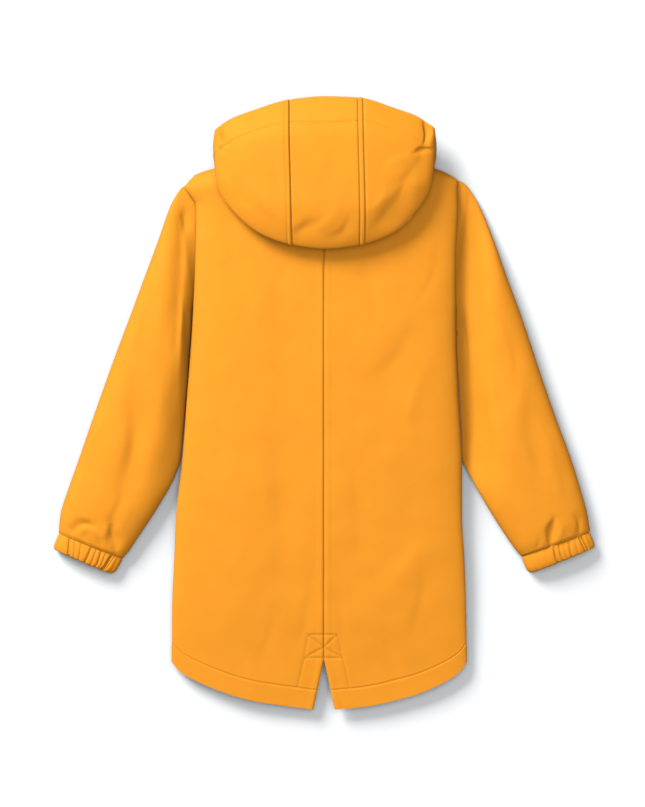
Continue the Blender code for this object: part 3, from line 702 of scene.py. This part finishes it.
FRONT_SHARES = np.concatenate([(0.0, 0.008, 0.02, 0.03), 0.045 + np.array((-0.008, -0.004, 0, 0.004, 0.008)),
                               np.linspace(0.06, 1.0, 44)])
FRONT_TURNS = np.linspace(1.0, 0.0, 9)[1:]
FRONT_ROWS = np.unique(np.concatenate([np.linspace(0.0, 0.03, 4), np.linspace(0.032, 0.052, 16),
                                       np.linspace(0.06, 0.9, 110), np.linspace(0.9, 1.0, 24)]))
for side in SIDES:
    facing = ((len(FRONT_ROWS) // 2, 20), False)
    grid = front_grid(side, FRONT_ROWS)
    x, y, z = np.moveaxis(grid, -1, 0)
    from_zip, from_hem = walked(grid, 1), walked(grid, 0)
    lying = 1 - ease(1.0, 4.0, z)
    raised = sunk_by(FRONT_CREASES, x, y) * lying
    raised += groove(from_hem - HEM_DEPTH, *FRONT_HEM_GROOVE) * lying
    raised += groove(from_zip - ZIP_STITCHING, *ZIP_GROOVE)
    grid = grid + np.stack([0 * x, 0 * y, np.maximum(raised, 0.0)], axis=-1)
    normal = normals(grid, *facing)
    lines = [across_rows(grid, normal, HEM_DEPTH, 6, len(FRONT_SHARES) - 1),
             down_columns(grid, normal, ZIP_STITCHING, 1, len(FRONT_ROWS) - 1)]
    cut_piece(f"front_{side}", "softshell", grid, facing, lines, flat=(0.175, 0.6), area=0.09, rests_on=[])


# ---- The sleeves ---------------------------------------------------------------------------------
# Each sleeve is one piece of the same cloth, closed under the arm and set into the armhole below the fold
# of the body. It lies as a flattened tube, with fullness at its end where the cuff draws it in.

SLEEVES = {
    "left": table(
        "outer_x  outer_y  inner_x  inner_y  crown",
        (-170.5, 261.5, -160, 86, 10.4),
        (-183.6, 239.4, -161.5, 61, 20),
        (-199.2, 195.6, -163, 33.6, 28),
        (-214.8, 153.6, -166, -2.4, 32),
        (-231.6, 108, -169, -34.8, 33),
        (-248.4, 63.6, -172, -66, 33),
        (-264, 20.4, -181.5, -93.6, 33),
        (-278.4, -20.4, -194.4, -116.4, 32),
        (-292.8, -62.4, -209, -140, 30),
        (-306, -99.6, -222.5, -160, 28),
        (-316.6, -133.2, -234.5, -178, 26),
        (-319, -156, -241.8, -186.6, 22.5),
    ),
    "right": table(
        "outer_x  outer_y  inner_x  inner_y  crown",
        (168.4, 267.6, 159.5, 86, 10.4),
        (185.4, 240, 160, 61, 20),
        (204, 195.6, 161, 33.6, 28),
        (219, 153.6, 162.5, -2.4, 32),
        (235.9, 108, 164.5, -34.8, 33),
        (250.8, 63.6, 167, -66, 33),
        (265.2, 20.4, 178, -92, 33),
        (279.6, -20.4, 190.8, -115.5, 32),
        (295.2, -62.4, 205, -139, 30),
        (307.2, -99.6, 218, -159, 28),
        (316.4, -133.2, 230, -176, 26),
        (320, -154.2, 236.8, -184.2, 22.5),
    ),
}
SLEEVE_SIDE_HEIGHT, SLEEVE_SIDE_LOW = 0.36, 6.0
SLEEVE_BESIDE = (0.2, 1.6, 4.5, 8.0)    # rings between which a sleeve lies beside the body
SLEEVE_LOW, SLEEVE_SIDE_DROP = {"left": 0.1, "right": 0.75}, 0.3
SLEEVE_TUCK, BODY_CLEARANCE = 3.3, 0.8
SLEEVE_CREASES = table(
    "x0      y0      x1      y1      bend   width  depth  lean",
    (-226, 20, -238.8, -104, 6, 15, 5, 1.3),
    (-190, 178, -196, 96, 3, 14, -2, 1.3),
    (-164.6, 238, -166.5, 208, -1, 4.5, 6.5, 1.3),
    (-162.5, 205, -171, -10, -2, 8, -5.5, 1.3),
    (-206, 120, -222, 30, -5, 10, 1.2, 1.4),
    (-186, 30, -206, -60, 6, 9, 1.2, 1.3),
    (-262, -30, -286, -110, -5, 9, 1.2, 1.4),
    (-238, -96, -262, -150, 4, 8, 1.4, 1.3),
    (194, 190, 206, -40, -4, 12, -3, 1.3),
    (250, 20, 262, -88, -6, 16, 3, 1.3),
    (172, 232, 180, -60, 3, 25, 16, 1.1),
    (214, 110, 232, 10, 6, 10, 1.2, 1.4),
    (186, 20, 212, -80, -5, 9, 1.2, 1.3),
    (268, -30, 290, -110, 5, 9, 1.1, 1.4),
    (-302, -153, -276, -147, 4.5, 5, 3.2, 1.3),
    (-307, -146, -301, -158, 0, 3, 1, 1.2),
    (-254, -144, -249, -178, -3, 6, 5.2, 1.2),
    (-262, -150, -254, -176, 2, 3, -1, 1.2),
    (-290, -154, -284, -168, 0, 3, 1.1, 1.2),
    (-272, -160, -266, -174, 0, 3, 1, 1.2),
    (275, -140, 272, -173, -2.5, 4.5, 5, 1.2),
    (285, -146, 283, -168, 0, 4, -0.8, 1.2),
    (302.5, -134, 305, -160, 2, 3.8, 2.2, 1.2),
    (258, -160, 256, -176, 0, 3, 0.8, 1.2),
)
SLEEVE_PULL = 12                # the armhole draws the inner side of the first ring this much harder
SLEEVE_SLACK = 0.6              # share of the body's unevenness
SLEEVE_END_ROLL = 1.1           # how far the cloth turns in at the cuff's seam
SLEEVE_END_LENGTH = 0.25        # share of the last step over which it does so
SLEEVE_LEAST = 4.6              # no trough goes lower, where the two layers lie on each other


CROWN_ROUND, UNDER_ROUND, UNDER_FLAT = 2.3, 3.2, 5.0


def flat_ring(outer, inner, crown, side_z, angle):
    """Flattened rings between two lines of points: a round crown, a flat underside, and sides in between."""
    middle, half = (outer + inner) / 2, (outer - inner) / 2
    c, s = np.cos(angle), np.sin(angle)
    over, up, down = s >= 0, np.maximum(s, 0.0), np.maximum(-s, 0.0)
    wide = np.abs(c) ** np.where(over, 2 / CROWN_ROUND, 2 / UNDER_ROUND) * np.sign(c)
    z = np.where(over, side_z + (crown - side_z) * up ** (2 / CROWN_ROUND),
                 side_z * (1 - down ** (2 / UNDER_FLAT)))
    return np.stack([middle[..., 0] + half[..., 0] * wide, middle[..., 1] + half[..., 1] * wide, z], axis=-1)


def sleeve_grid(side, places, angles):
    """A sleeve, from the armhole under the body's fold to the cuff."""
    data, out = SLEEVES[side], SIDES[side]
    steps = np.arange(len(data["crown"]))
    at = {name: column(data, name, steps)(places)[:, None] for name in data}
    outer = np.stack([at["outer_x"], at["outer_y"]], axis=-1)
    inner = np.stack([at["inner_x"], at["inner_y"]], axis=-1)
    angle = angles[None, :]
    side_z = np.maximum(at["crown"] * SLEEVE_SIDE_HEIGHT, SLEEVE_SIDE_LOW)
    x, y, z = np.moveaxis(flat_ring(outer, inner, at["crown"], side_z, angle), -1, 0)
    near = np.maximum(1 - places, 0.0)[:, None]
    beside = (ease(*SLEEVE_BESIDE[:2], places) * (1 - ease(*SLEEVE_BESIDE[2:], places)))[:, None]
    z = z - np.maximum(z - side_z, 0.0) * SLEEVE_LOW[side] * beside * ease(0.1, 0.8, -np.cos(angle))
    z = z * (1 - SLEEVE_SIDE_DROP * beside * ease(0.3, 1.0, -np.cos(angle)))
    fold = edge(side, y) + BODY_CLEARANCE
    tucked = (ARMHOLE_TUCK - 2) * armhole(y), SLEEVE_TUCK * past_underarm(y - ARMHOLE_EASE)
    tuck = np.where(np.sin(angle) < 0, *tucked)
    pull = near ** (1 + SLEEVE_PULL * ((1 + np.cos(angle)) / 2) ** 3)
    reach = np.abs(x) + (fold - tuck - np.abs(x)) * pull
    x = out * np.maximum(reach, fold - tuck * near)
    crown = np.maximum(np.sin(angle), 0.0) ** 0.5 * ease(0.0, 0.45, places)[:, None]
    least = np.minimum(z, SLEEVE_LEAST)
    sunk = sunk_by(SLEEVE_CREASES, x, y) - SLEEVE_SLACK * slack(x, y, 4.0 + out)
    z = np.maximum(z - sunk * crown, least)
    rolled = ease(places[-1] - SLEEVE_END_LENGTH, places[-1], places)[:, None] ** 2
    z = z - SLEEVE_END_ROLL * rolled * (np.sin(angle) > 0)
    return np.stack([x, y, z], axis=-1)


SLEEVE_SIDES = 148
last_place = len(SLEEVES["left"]["crown"]) - 1
SLEEVE_PLACES = np.concatenate([np.linspace(0.0, 1.0, 14)[:-1], np.linspace(1.0, 9.0, 92)[:-1],
                                np.linspace(9.0, last_place - 0.3, 44)[:-1],
                                np.linspace(last_place - 0.3, last_place, 12)])
SLEEVE_ANGLES = 2 * math.pi * np.arange(SLEEVE_SIDES) / SLEEVE_SIDES
for side in SIDES:
    grid = sleeve_grid(side, SLEEVE_PLACES, SLEEVE_ANGLES)
    facing = ((len(SLEEVE_PLACES) // 2, SLEEVE_SIDES // 4), True)
    cut_piece(f"sleeve_{side}", "softshell", grid, facing, closed=True,
              flat=(0.28, 0.42), area=0.085, rests_on=[])


# ---- The cuffs -----------------------------------------------------------------------------------
# A band of the same cloth round each wrist, folded over a wide elastic that gathers it unevenly. It is
# sewn to the end of the sleeve, which puffs out a little above the seam.

CUFFS = {
    "left": table(
        "outer_x  outer_y  inner_x  inner_y",
        (-318.4, -157.6, -242.6, -188),
        (-325.8, -176.6, -254, -207.6),
    ),
    "right": table(
        "outer_x  outer_y  inner_x  inner_y",
        (319.4, -156, 238.4, -186),
        (326.2, -174.6, 246.6, -206.6),
    ),
}
CUFF_HEIGHT = (20.0, 20.5, 20.0, 18.5)
CUFF_WIDTH = 19.0               # from the seam to the free edge
CUFF_CORNER = {"outer": 5.0, "inner": 8.0}
# The gathers: where each runs over the cuff, as a share of its width from the outer corner, how far it
# slants on the way to the free edge, its width and its depth.
GATHERS = {
    "left": table(
        "share  slant  width  depth",
        (0.06, 0.03, 0.02, 0.5),
        (0.215, 0.09, 0.018, 2.1),
        (0.31, 0.10, 0.014, 0.9),
        (0.40, 0.08, 0.016, 1.1),
        (0.53, 0.02, 0.018, 2),
        (0.62, 0.04, 0.013, 1),
        (0.70, 0.05, 0.015, 1.7),
        (0.765, 0.03, 0.011, 0.9),
        (0.835, -0.01, 0.020, 3.2),
        (0.875, -0.02, 0.012, 1.2),
        (0.94, 0.02, 0.020, 0.6),
    ),
    "right": table(
        "share  slant  width  depth",
        (0.05, 0, 0.018, 0.5),
        (0.115, -0.03, 0.015, 2.6),
        (0.155, -0.02, 0.013, 2),
        (0.24, 0.03, 0.016, 0.6),
        (0.335, 0.04, 0.018, 1.3),
        (0.41, 0.03, 0.013, 0.6),
        (0.485, 0.03, 0.016, 1.8),
        (0.56, 0.04, 0.017, 2.3),
        (0.68, 0.03, 0.026, 0.4),
        (0.80, 0.02, 0.030, 0.5),
        (0.91, 0.01, 0.022, 0.4),
    ),
}
GATHERS_BELOW, GATHER_BELOW_DEPTH = 17, 0.35    # on the side that lies on the surface
CUFF_PUFF = 0.8                 # how far the band stands out in its middle
CUFF_SIDE_HEIGHT = 0.42
CUFF_TUCK = -0.08               # the band begins this share of its width inside the sleeve
CUFF_SEAM_DIP, CUFF_END_ROLL, GATHER_DRAW = 0.9, 1.6, 0.5


def gathered(side, angle, down):
    """How far the gathers sink the cloth round the wrist and down the cuff."""
    over = np.sin(angle) >= 0
    share = (1 - np.abs(np.cos(angle)) ** (2 / CROWN_ROUND) * np.sign(np.cos(angle))) / 2
    depth = np.zeros(np.broadcast(angle, down).shape)
    for at, slant, width, deep in zip(*GATHERS[side].values()):
        depth += groove(share - at - slant * (down - 0.5), deep, width) * over
    return depth + GATHER_BELOW_DEPTH * (1 - np.cos(GATHERS_BELOW * angle)) * ~over


def cuff_grid(side, shares, angles):
    """The elastic band at a sleeve's end, with the corners of its free edge rounded off."""
    data = CUFFS[side]
    ends = {}
    for end in ("outer", "inner"):
        (x0, x1), (y0, y1) = data[f"{end}_x"], data[f"{end}_y"]
        ends[end] = np.stack([x0 + (x1 - x0) * shares, y0 + (y1 - y0) * shares], axis=-1)
    across = ends["inner"] - ends["outer"]
    across /= np.linalg.norm(across, axis=1, keepdims=True)
    for end, way in (("outer", 1), ("inner", -1)):
        radius = CUFF_CORNER[end]
        past = np.clip(1 - (1 - shares) * CUFF_WIDTH / radius, 0.0, 0.97)
        ends[end] = ends[end] + across * (way * radius * (1 - np.sqrt(1 - past ** 2)))[:, None]
    height = smooth(np.linspace(0, 1, len(CUFF_HEIGHT)), CUFF_HEIGHT)(shares)[:, None]
    return flat_ring(ends["outer"][:, None], ends["inner"][:, None], height, height * CUFF_SIDE_HEIGHT,
                     angles[None, :])


CUFF_SIDES = 372
CUFF_ANGLES = 2 * math.pi * np.arange(CUFF_SIDES) / CUFF_SIDES
CUFF_SHARES = np.concatenate([np.linspace(CUFF_TUCK, 0.0, 5)[:-1], np.linspace(0.0, 0.7, 20),
                              np.linspace(0.73, 1.0, 16)])
for side in SIDES:
    facing = ((18, CUFF_SIDES // 4), True)
    grid = cuff_grid(side, CUFF_SHARES, CUFF_ANGLES)
    normal = normals(grid, *facing, closed=True)
    angle, down = CUFF_ANGLES[None, :], CUFF_SHARES[:, None]
    sunk = gathered(side, angle, down)
    relief = CUFF_PUFF * np.sin(math.pi * np.clip(down, 0, 1)) ** 0.5 - sunk * ease(CUFF_TUCK, 0.1, down)
    relief = relief * ease(-0.25, 0.1, np.sin(angle)) - groove(down - CUFF_TUCK, CUFF_SEAM_DIP, 0.06)
    relief -= CUFF_END_ROLL * ease(0.88, 1.0, down) ** 2
    grid = grid + normal * relief[..., None]
    along = grid[-1] - grid[-12]
    along /= np.linalg.norm(along, axis=1, keepdims=True)
    grid = grid - along[None] * (GATHER_DRAW * sunk * ease(0.5, 1.0, down))[..., None]
    grid[..., 2] = np.maximum(grid[..., 2], 0.0)
    cut_piece(f"cuff_{side}", "cuff_elastic", grid, facing, closed=True,
              flat=(0.2, 0.022), area=0.0043, rests_on=[])


# ---- The hood ------------------------------------------------------------------------------------
# A bag of three pieces, sewn to the neckline: a strip from the face edge over the crown to the neck, and
# a side on each side of it. It has fallen back over the shoulders, and its face edge is a doubled hem.

HOOD_TOP = table(
    "m_x    m_y    m_z   t_x    t_y    t_z   s_x    s_y    s_z   left_low  left_in",
    (0, 366.8, 38, 0, 318, 62, 0, 240, 68, 0, 0),
    (40.8, 365.6, 38, 41, 316, 61.5, 41, 242, 67, 2.6, 0),
    (82, 353.8, 36, 83, 310, 57, 81, 250, 61, 3, 0),
    (114, 342, 33, 114, 304, 50, 112, 262, 53, 3.4, 0),
    (131, 327, 28, 131.5, 300, 40, 130.5, 277, 41, 1.2, 0.6),
    (133.8, 318, 19, 134.6, 309, 19, 134.4, 300, 19, 0, 2),
    (84, 312, 0, 80, 308, 0, 75, 304.5, 0, 0, 0),
    (45, 302, 0, 43, 295, 0, 41, 287.5, 0, 0, 0),
    (5, 296, 0, 5, 287.5, 0, 5, 279, 0, 0, 0),
)
HOOD_UNDER = table(
    "f_x    f_y    f_z   u_x   u_y    u_z   k_x   k_y    k_z",
    (0, 184, 52, 0, 226, 40, 0, 284, 38),
    (40, 188.5, 51.5, 34, 228, 40, 27, 285, 38),
    (79, 202.5, 49, 62, 238, 39, 49, 288, 37),
    (107.5, 227, 46, 88, 256, 37, 64, 291, 35),
    (127, 257, 38, 108, 272, 32, 74, 296, 28),
    (132.5, 292, 18, 108, 298.5, 11, 79, 302, 8.5),
    (68.5, 301, 0, 62, 296, 0.2, 56.5, 288, 0.3),
    (39, 279.5, 0, 37.5, 271, 0, 36, 260, 0),
    (5, 270.5, 0, 5, 261, 0, 5, 250, 0),
)
HOOD = HOOD_TOP | HOOD_UNDER
HOOD_MIDDLE_TOP, HOOD_MIDDLE_FOOT = -0.4, 2.4  # how far the centre strip lies off the middle, above and below
HOOD_NECK = (0.0, 27.0, 49.0, 64.0, 72.0)
HOOD_NECK_Y = 285.0
HOOD_FRONT_NECK = (0.47, 0.39, 0.22, 0.0)
HOOD_SIDE_Z = (7.5, 0.5, 0.0, 0.0)
HOOD_NECK_GAP = 0.6
HOOD_CREASES = table(
    "x0      y0      x1      y1      bend   width  depth  lean",
    (-124, 333, -117.6, 307, -2, 2.2, 2.8, 1.5),
    (-131, 306, -121, 300, 1, 2.6, 1.4, 1.3),
    (127.6, 336, 128, 309, 1, 5, -3.2, 1.3),
    (119.6, 336, 119.8, 309, 1.5, 2.4, 2.4, 1.6),
    (129, 303.5, 108, 299.5, -2.5, 3, 2.6, 1.5),
    (118, 296, 88, 262, 4, 8, 1.2, 1.4),
    (104, 296, 70, 268, -5, 8, -0.9, 1.4),
    (98, 262, 62, 210, 4, 12, 2.6, 1.5),
    (76, 262, 52, 226, 5, 7, -0.8, 1.3),
    (32, 222, 6, 196, 5, 6.5, 1.2, 1.4),
    (18, 236, -14, 205, 5, 7, -0.9, 1.3),
    (-6, 214, -36, 199, -4, 8, 1.8, 1.4),
    (-110, 274, -84, 232, -5, 8, 1.1, 1.4),
    (-84, 262, -56, 222, -5, 7, -0.9, 1.3),
    (-60, 300, -52, 250, 3, 10, 0.8, 1.3),
    (0, 320, 10, 262, 5, 14, 0.8, 1.3),
)
HOOD_HEM = 31.0                 # from the face edge to its stitching, along the cloth
HEM_DROP, HEM_DROP_WIDTH = 6.0, 34.0    # how much further down the stitching runs in the middle
SEAM_STRIP = {"left": 4.8, "right": 5.6}    # from each seam to the topstitching beside it
SEAM_DIP, STITCH_DIP = {"left": 1.3, "right": 0.45}, {"left": 0.55, "right": 0.95}
STITCH_BESIDE = 0.7             # from the strip's end to its stitching
STRIP_RAISED, HEM_DOUBLED, HOOD_SLACK = 0.95, 0.5, 0.8
HOOD_UPPER_TILT, HOOD_UPPER_Z = (0.1, 0.5), (18.0, 26.0)    # where creases begin, by slope and height


def hood_grid(side, columns, rows):
    """Half of the hood: rows from the face edge, over the top and back under, to the neck seam."""
    out = SIDES[side]
    steps = np.arange(-1, len(HOOD["m_x"]))
    lines = []
    for row in "mtsfuk":
        x, y, z = (HOOD[f"{row}_{axis}"] for axis in "xyz")
        if side == "left" and row == "m":
            y = y - HOOD["left_low"]
        if side == "left" and row in "mtsf":
            x = x - HOOD["left_in"]
        # The other half mirrors the first column, so that no ridge runs down the middle.
        lines.append([smooth(steps, [way * values[1], *values])(columns)
                      for way, values in ((-1, x), (1, y), (1, z))])
    # The last row follows the neckline: the back's top edge to the shoulder seam, then the front's neck.
    shares = [x / edge(side, HOOD_NECK_Y) for x in HOOD_NECK] + list(HOOD_FRONT_NECK)
    share = smooth(steps, [-shares[1], *shares])(columns)
    shoulder = len(HOOD_NECK) - 0.5
    top = top_line[side](share)
    back = (share * edge(side, HOOD_NECK_Y), top + HOOD_NECK_GAP, back_height(share, top, 0.0))
    y = front_neck(share) + HOOD_NECK_GAP
    front = (front_x(side, share, y), y, smooth(steps[-len(HOOD_SIDE_Z):], HOOD_SIDE_Z)(columns))
    turned = ease(shoulder - 0.5, shoulder + 0.5, columns)
    lines.append([a + (b - a) * turned for a, b in zip(back, front)])
    places = np.arange(len(lines))
    lines = np.array(lines)
    grid = np.empty((len(rows), len(columns), 3))
    for j in range(len(columns)):
        for axis in range(3):
            grid[:, j, axis] = smooth(places, lines[:, axis, j])(rows)
    grid[..., 2] = np.maximum(grid[..., 2], 0.0)
    middle = HOOD_MIDDLE_TOP + (HOOD_MIDDLE_FOOT - HOOD_MIDDLE_TOP) * ease(365.0, 190.0, grid[..., 1])
    grid[..., 0] = out * grid[..., 0] + middle * (1 - ease(2.0, 4.0, columns))
    return grid


def hood_relief(grid, facing, from_seam, seam_dip, strip=None, stitch_dip=0.0):
    """The hood with its creases, doubled face hem and raised strip between a seam and its topstitching."""
    x, y, z = np.moveaxis(grid, -1, 0)
    normal = normals(grid, *facing)
    upper = ease(*HOOD_UPPER_TILT, normal[..., 2]) * ease(*HOOD_UPPER_Z, z)
    from_edge = walked(grid, 0) - groove(x[:1], HEM_DROP, HEM_DROP_WIDTH)
    relief = (HOOD_SLACK * slack(x, y, 2.0) - sunk_by(HOOD_CREASES, x, y)) * upper
    relief += HEM_DOUBLED * (1 - ease(HOOD_HEM - 0.5, HOOD_HEM + 3.0, from_edge))
    relief -= groove(from_edge - HOOD_HEM, *HEM_GROOVE) + groove(from_seam, seam_dip, 1.0)
    if strip:
        relief += STRIP_RAISED * ease(0.4, 1.6, from_seam) * (1 - ease(strip - 0.9, strip + 0.9, from_seam))
        relief -= groove(from_seam - strip - STITCH_BESIDE, stitch_dip, 1.0)
    grid = grid + normal * relief[..., None]
    grid[..., 2] = np.maximum(grid[..., 2], 0.0)
    return grid


def hem_line(grid, normal, first, last):
    """The face hem's stitching, lower in the middle."""
    at = HOOD_HEM + groove(grid[0, :, 0], HEM_DROP, HEM_DROP_WIDTH)
    return across_rows(grid, normal, at, first, last)


def with_allowance(grid, facing, at_start):
    """The grid with a seam allowance, folded in under the neighbour at its first or last column."""
    normal = normals(grid, *facing)
    end, inwards = (0, 1) if at_start else (-1, -2)
    along = grid[:, end] - grid[:, inwards]
    along /= np.maximum(np.linalg.norm(along, axis=1, keepdims=True), 1e-9)
    below = [grid[:, end] + along * step - normal[:, end] * deep for step, deep in ALLOWANCE]
    below = np.stack(below[::-1] if at_start else below, axis=1)
    return np.concatenate([below, grid] if at_start else [grid, below], axis=1)


ALLOWANCE = ((0.1, 2.4), (2.6, 3.0))    # how far it reaches under the neighbour, and how deep it lies
HOOD_ROWS = np.concatenate([np.linspace(0.0, 1.0, 52)[:-1], np.linspace(1.0, 3.2, 60)[:-1],
                            np.linspace(3.2, 6.0, 38)])
STRIP_COLUMNS = np.concatenate([np.linspace(0.0, 0.88, 20), (0.91, 0.935, 0.955, 0.97, 0.98, 0.99, 1.0)])
SEAM_COLUMNS = 1 + np.array((0, 10, 20, 32, 45, 60, 75, 88, 100, 112, 124, 136, 148, 162, 180)) / 1000
HOOD_COLUMNS = np.concatenate([SEAM_COLUMNS, np.linspace(1.21, 5.0, 96)[:-1], np.linspace(5.0, 8.0, 38)])
LAST_TOP_ROW = 92               # rows up to here lie on the hood's upper side
facing = ((30, 4), True)

left, right = (hood_grid(side, STRIP_COLUMNS, HOOD_ROWS) for side in SIDES)
left[:, -1, 0] += SEAM_GAP
right[:, -1, 0] -= SEAM_GAP
grid = np.concatenate([left[:, ::-1], right[:, 1:]], axis=1)
run = walked(grid, 1)
grid = hood_relief(grid, facing, np.minimum(run, run[:, -1:] - run), 0.9)
normal = normals(grid, *facing)
folded = with_allowance(with_allowance(grid, facing, True), (facing[0], True), False)
cut_piece("hood_center", "softshell", folded, facing, [hem_line(grid, normal, 1, grid.shape[1] - 1)],
          flat=(0.083, 0.32), area=0.0245, rests_on=["back_left", "back_right"])

for side, out in SIDES.items():
    strip = SEAM_STRIP[side]
    grid = hood_grid(side, HOOD_COLUMNS, HOOD_ROWS)
    grid[:, 0, 0] += out * SEAM_GAP
    grid = hood_relief(grid, facing, walked(grid, 1), SEAM_DIP[side], strip, STITCH_DIP[side])
    normal = normals(grid, *facing)
    lines = [down_columns(grid, normal, strip + STITCH_BESIDE, 1, LAST_TOP_ROW),
             hem_line(grid, normal, 16, 100)]
    cut_piece(f"hood_side_{side}", "softshell", grid, facing, lines,
              flat=(0.2, 0.3), area=0.03, rests_on=[f"back_{side}"])


# ---- The zip -------------------------------------------------------------------------------------
# A closed coil zip between the fronts: two woven polyester tapes, each with a bent nylon coil sewn to its
# inner edge. The slider is at the chin; it grips the coil and stays there, and its pull tab swings on a
# bridge under it.

ZIP_FOOT, ZIP_TOP = -287.0, 281.0
TAPE_INNER, TAPE_OUTER, TAPE_LOW, TAPE_WALL = 2.6, 12.0, 5.4, 0.8
TAPE_RIB, TAPE_RIB_WIDTH = 0.06, 2.35
tape_cloth = woven("zip tape", (0.84, 0.29, 0.016), (0.78, 0.26, 0.013), roughness=0.62)

for side, out in SIDES.items():
    x, y = np.meshgrid(np.linspace(TAPE_INNER, TAPE_OUTER, 12), np.linspace(ZIP_FOOT, ZIP_TOP, 150))
    ribs = TAPE_RIB * np.cos(2 * math.pi * (x - TAPE_INNER) / TAPE_RIB_WIDTH)
    grid = np.stack([out * x, y, TAPE_LOW + ribs], axis=-1)
    tape = cut_piece(f"zip_tape_{side}", "zip_tape", grid, ((70, 5), False), wall=TAPE_WALL,
                     flat=(0.012, 0.568), area=0.0054, rests_on=[])
    for slot in (0, 1):
        tape.data.materials[slot] = tape_cloth

COIL_PITCH, COIL_REACH, COIL_OVERLAP, COIL_WIRE, COIL_Z = 1.6, 2.2, 0.55, 0.95, 5.8
# One turn of the coil across the zip: share of its length from the tape, thickness and height.
COIL_FORM = ((0.0, 0.5, 0.0), (0.12, 0.9, -0.1), (0.75, 0.9, -0.15), (0.92, 1.15, 0.0), (1.0, 0.55, 0.05))
COIL_START = {"left": 0.25, "right": 0.75}  # where each side's turns begin, as a share of the pitch
nylon = material("nylon coil", {"Base Color": (0.8, 0.28, 0.018, 1), "Roughness": 0.36})

aside, up = np.array((0.0, 1.0, 0.0)), np.array((0.0, 0.0, 1.0))
turns = []
for side, out in SIDES.items():
    for i in range(int((ZIP_TOP - ZIP_FOOT) / COIL_PITCH)):
        root = np.array((out * COIL_REACH, ZIP_FOOT + (i + COIL_START[side]) * COIL_PITCH, COIL_Z))
        turns.append((root, np.array((-out, 0.0, 0.0)), up, aside))
coil = threads("zip_coil", turns, COIL_FORM, COIL_REACH + COIL_OVERLAP, COIL_WIRE, nylon)
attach(coil, "garment")
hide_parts("zip_chain")

metal = material("die-cast zinc", {"Base Color": (0.5, 0.5, 0.51, 1), "Metallic": 1.0})
nodes, links = metal.node_tree.nodes, metal.node_tree.links
polish = nodes.new("ShaderNodeMapRange")
polish.inputs["To Min"].default_value = 0.26
polish.inputs["To Max"].default_value = 0.42
links.new(noise(metal, nodes.new("ShaderNodeTexCoord"), 1400.0, 2.0), polish.inputs["Value"])
links.new(polish.outputs["Result"], nodes["Principled BSDF"].inputs["Roughness"])
for name in ("zip_slider", "zip_pull"):
    bpy.data.objects[name].material_slots[0].material = metal
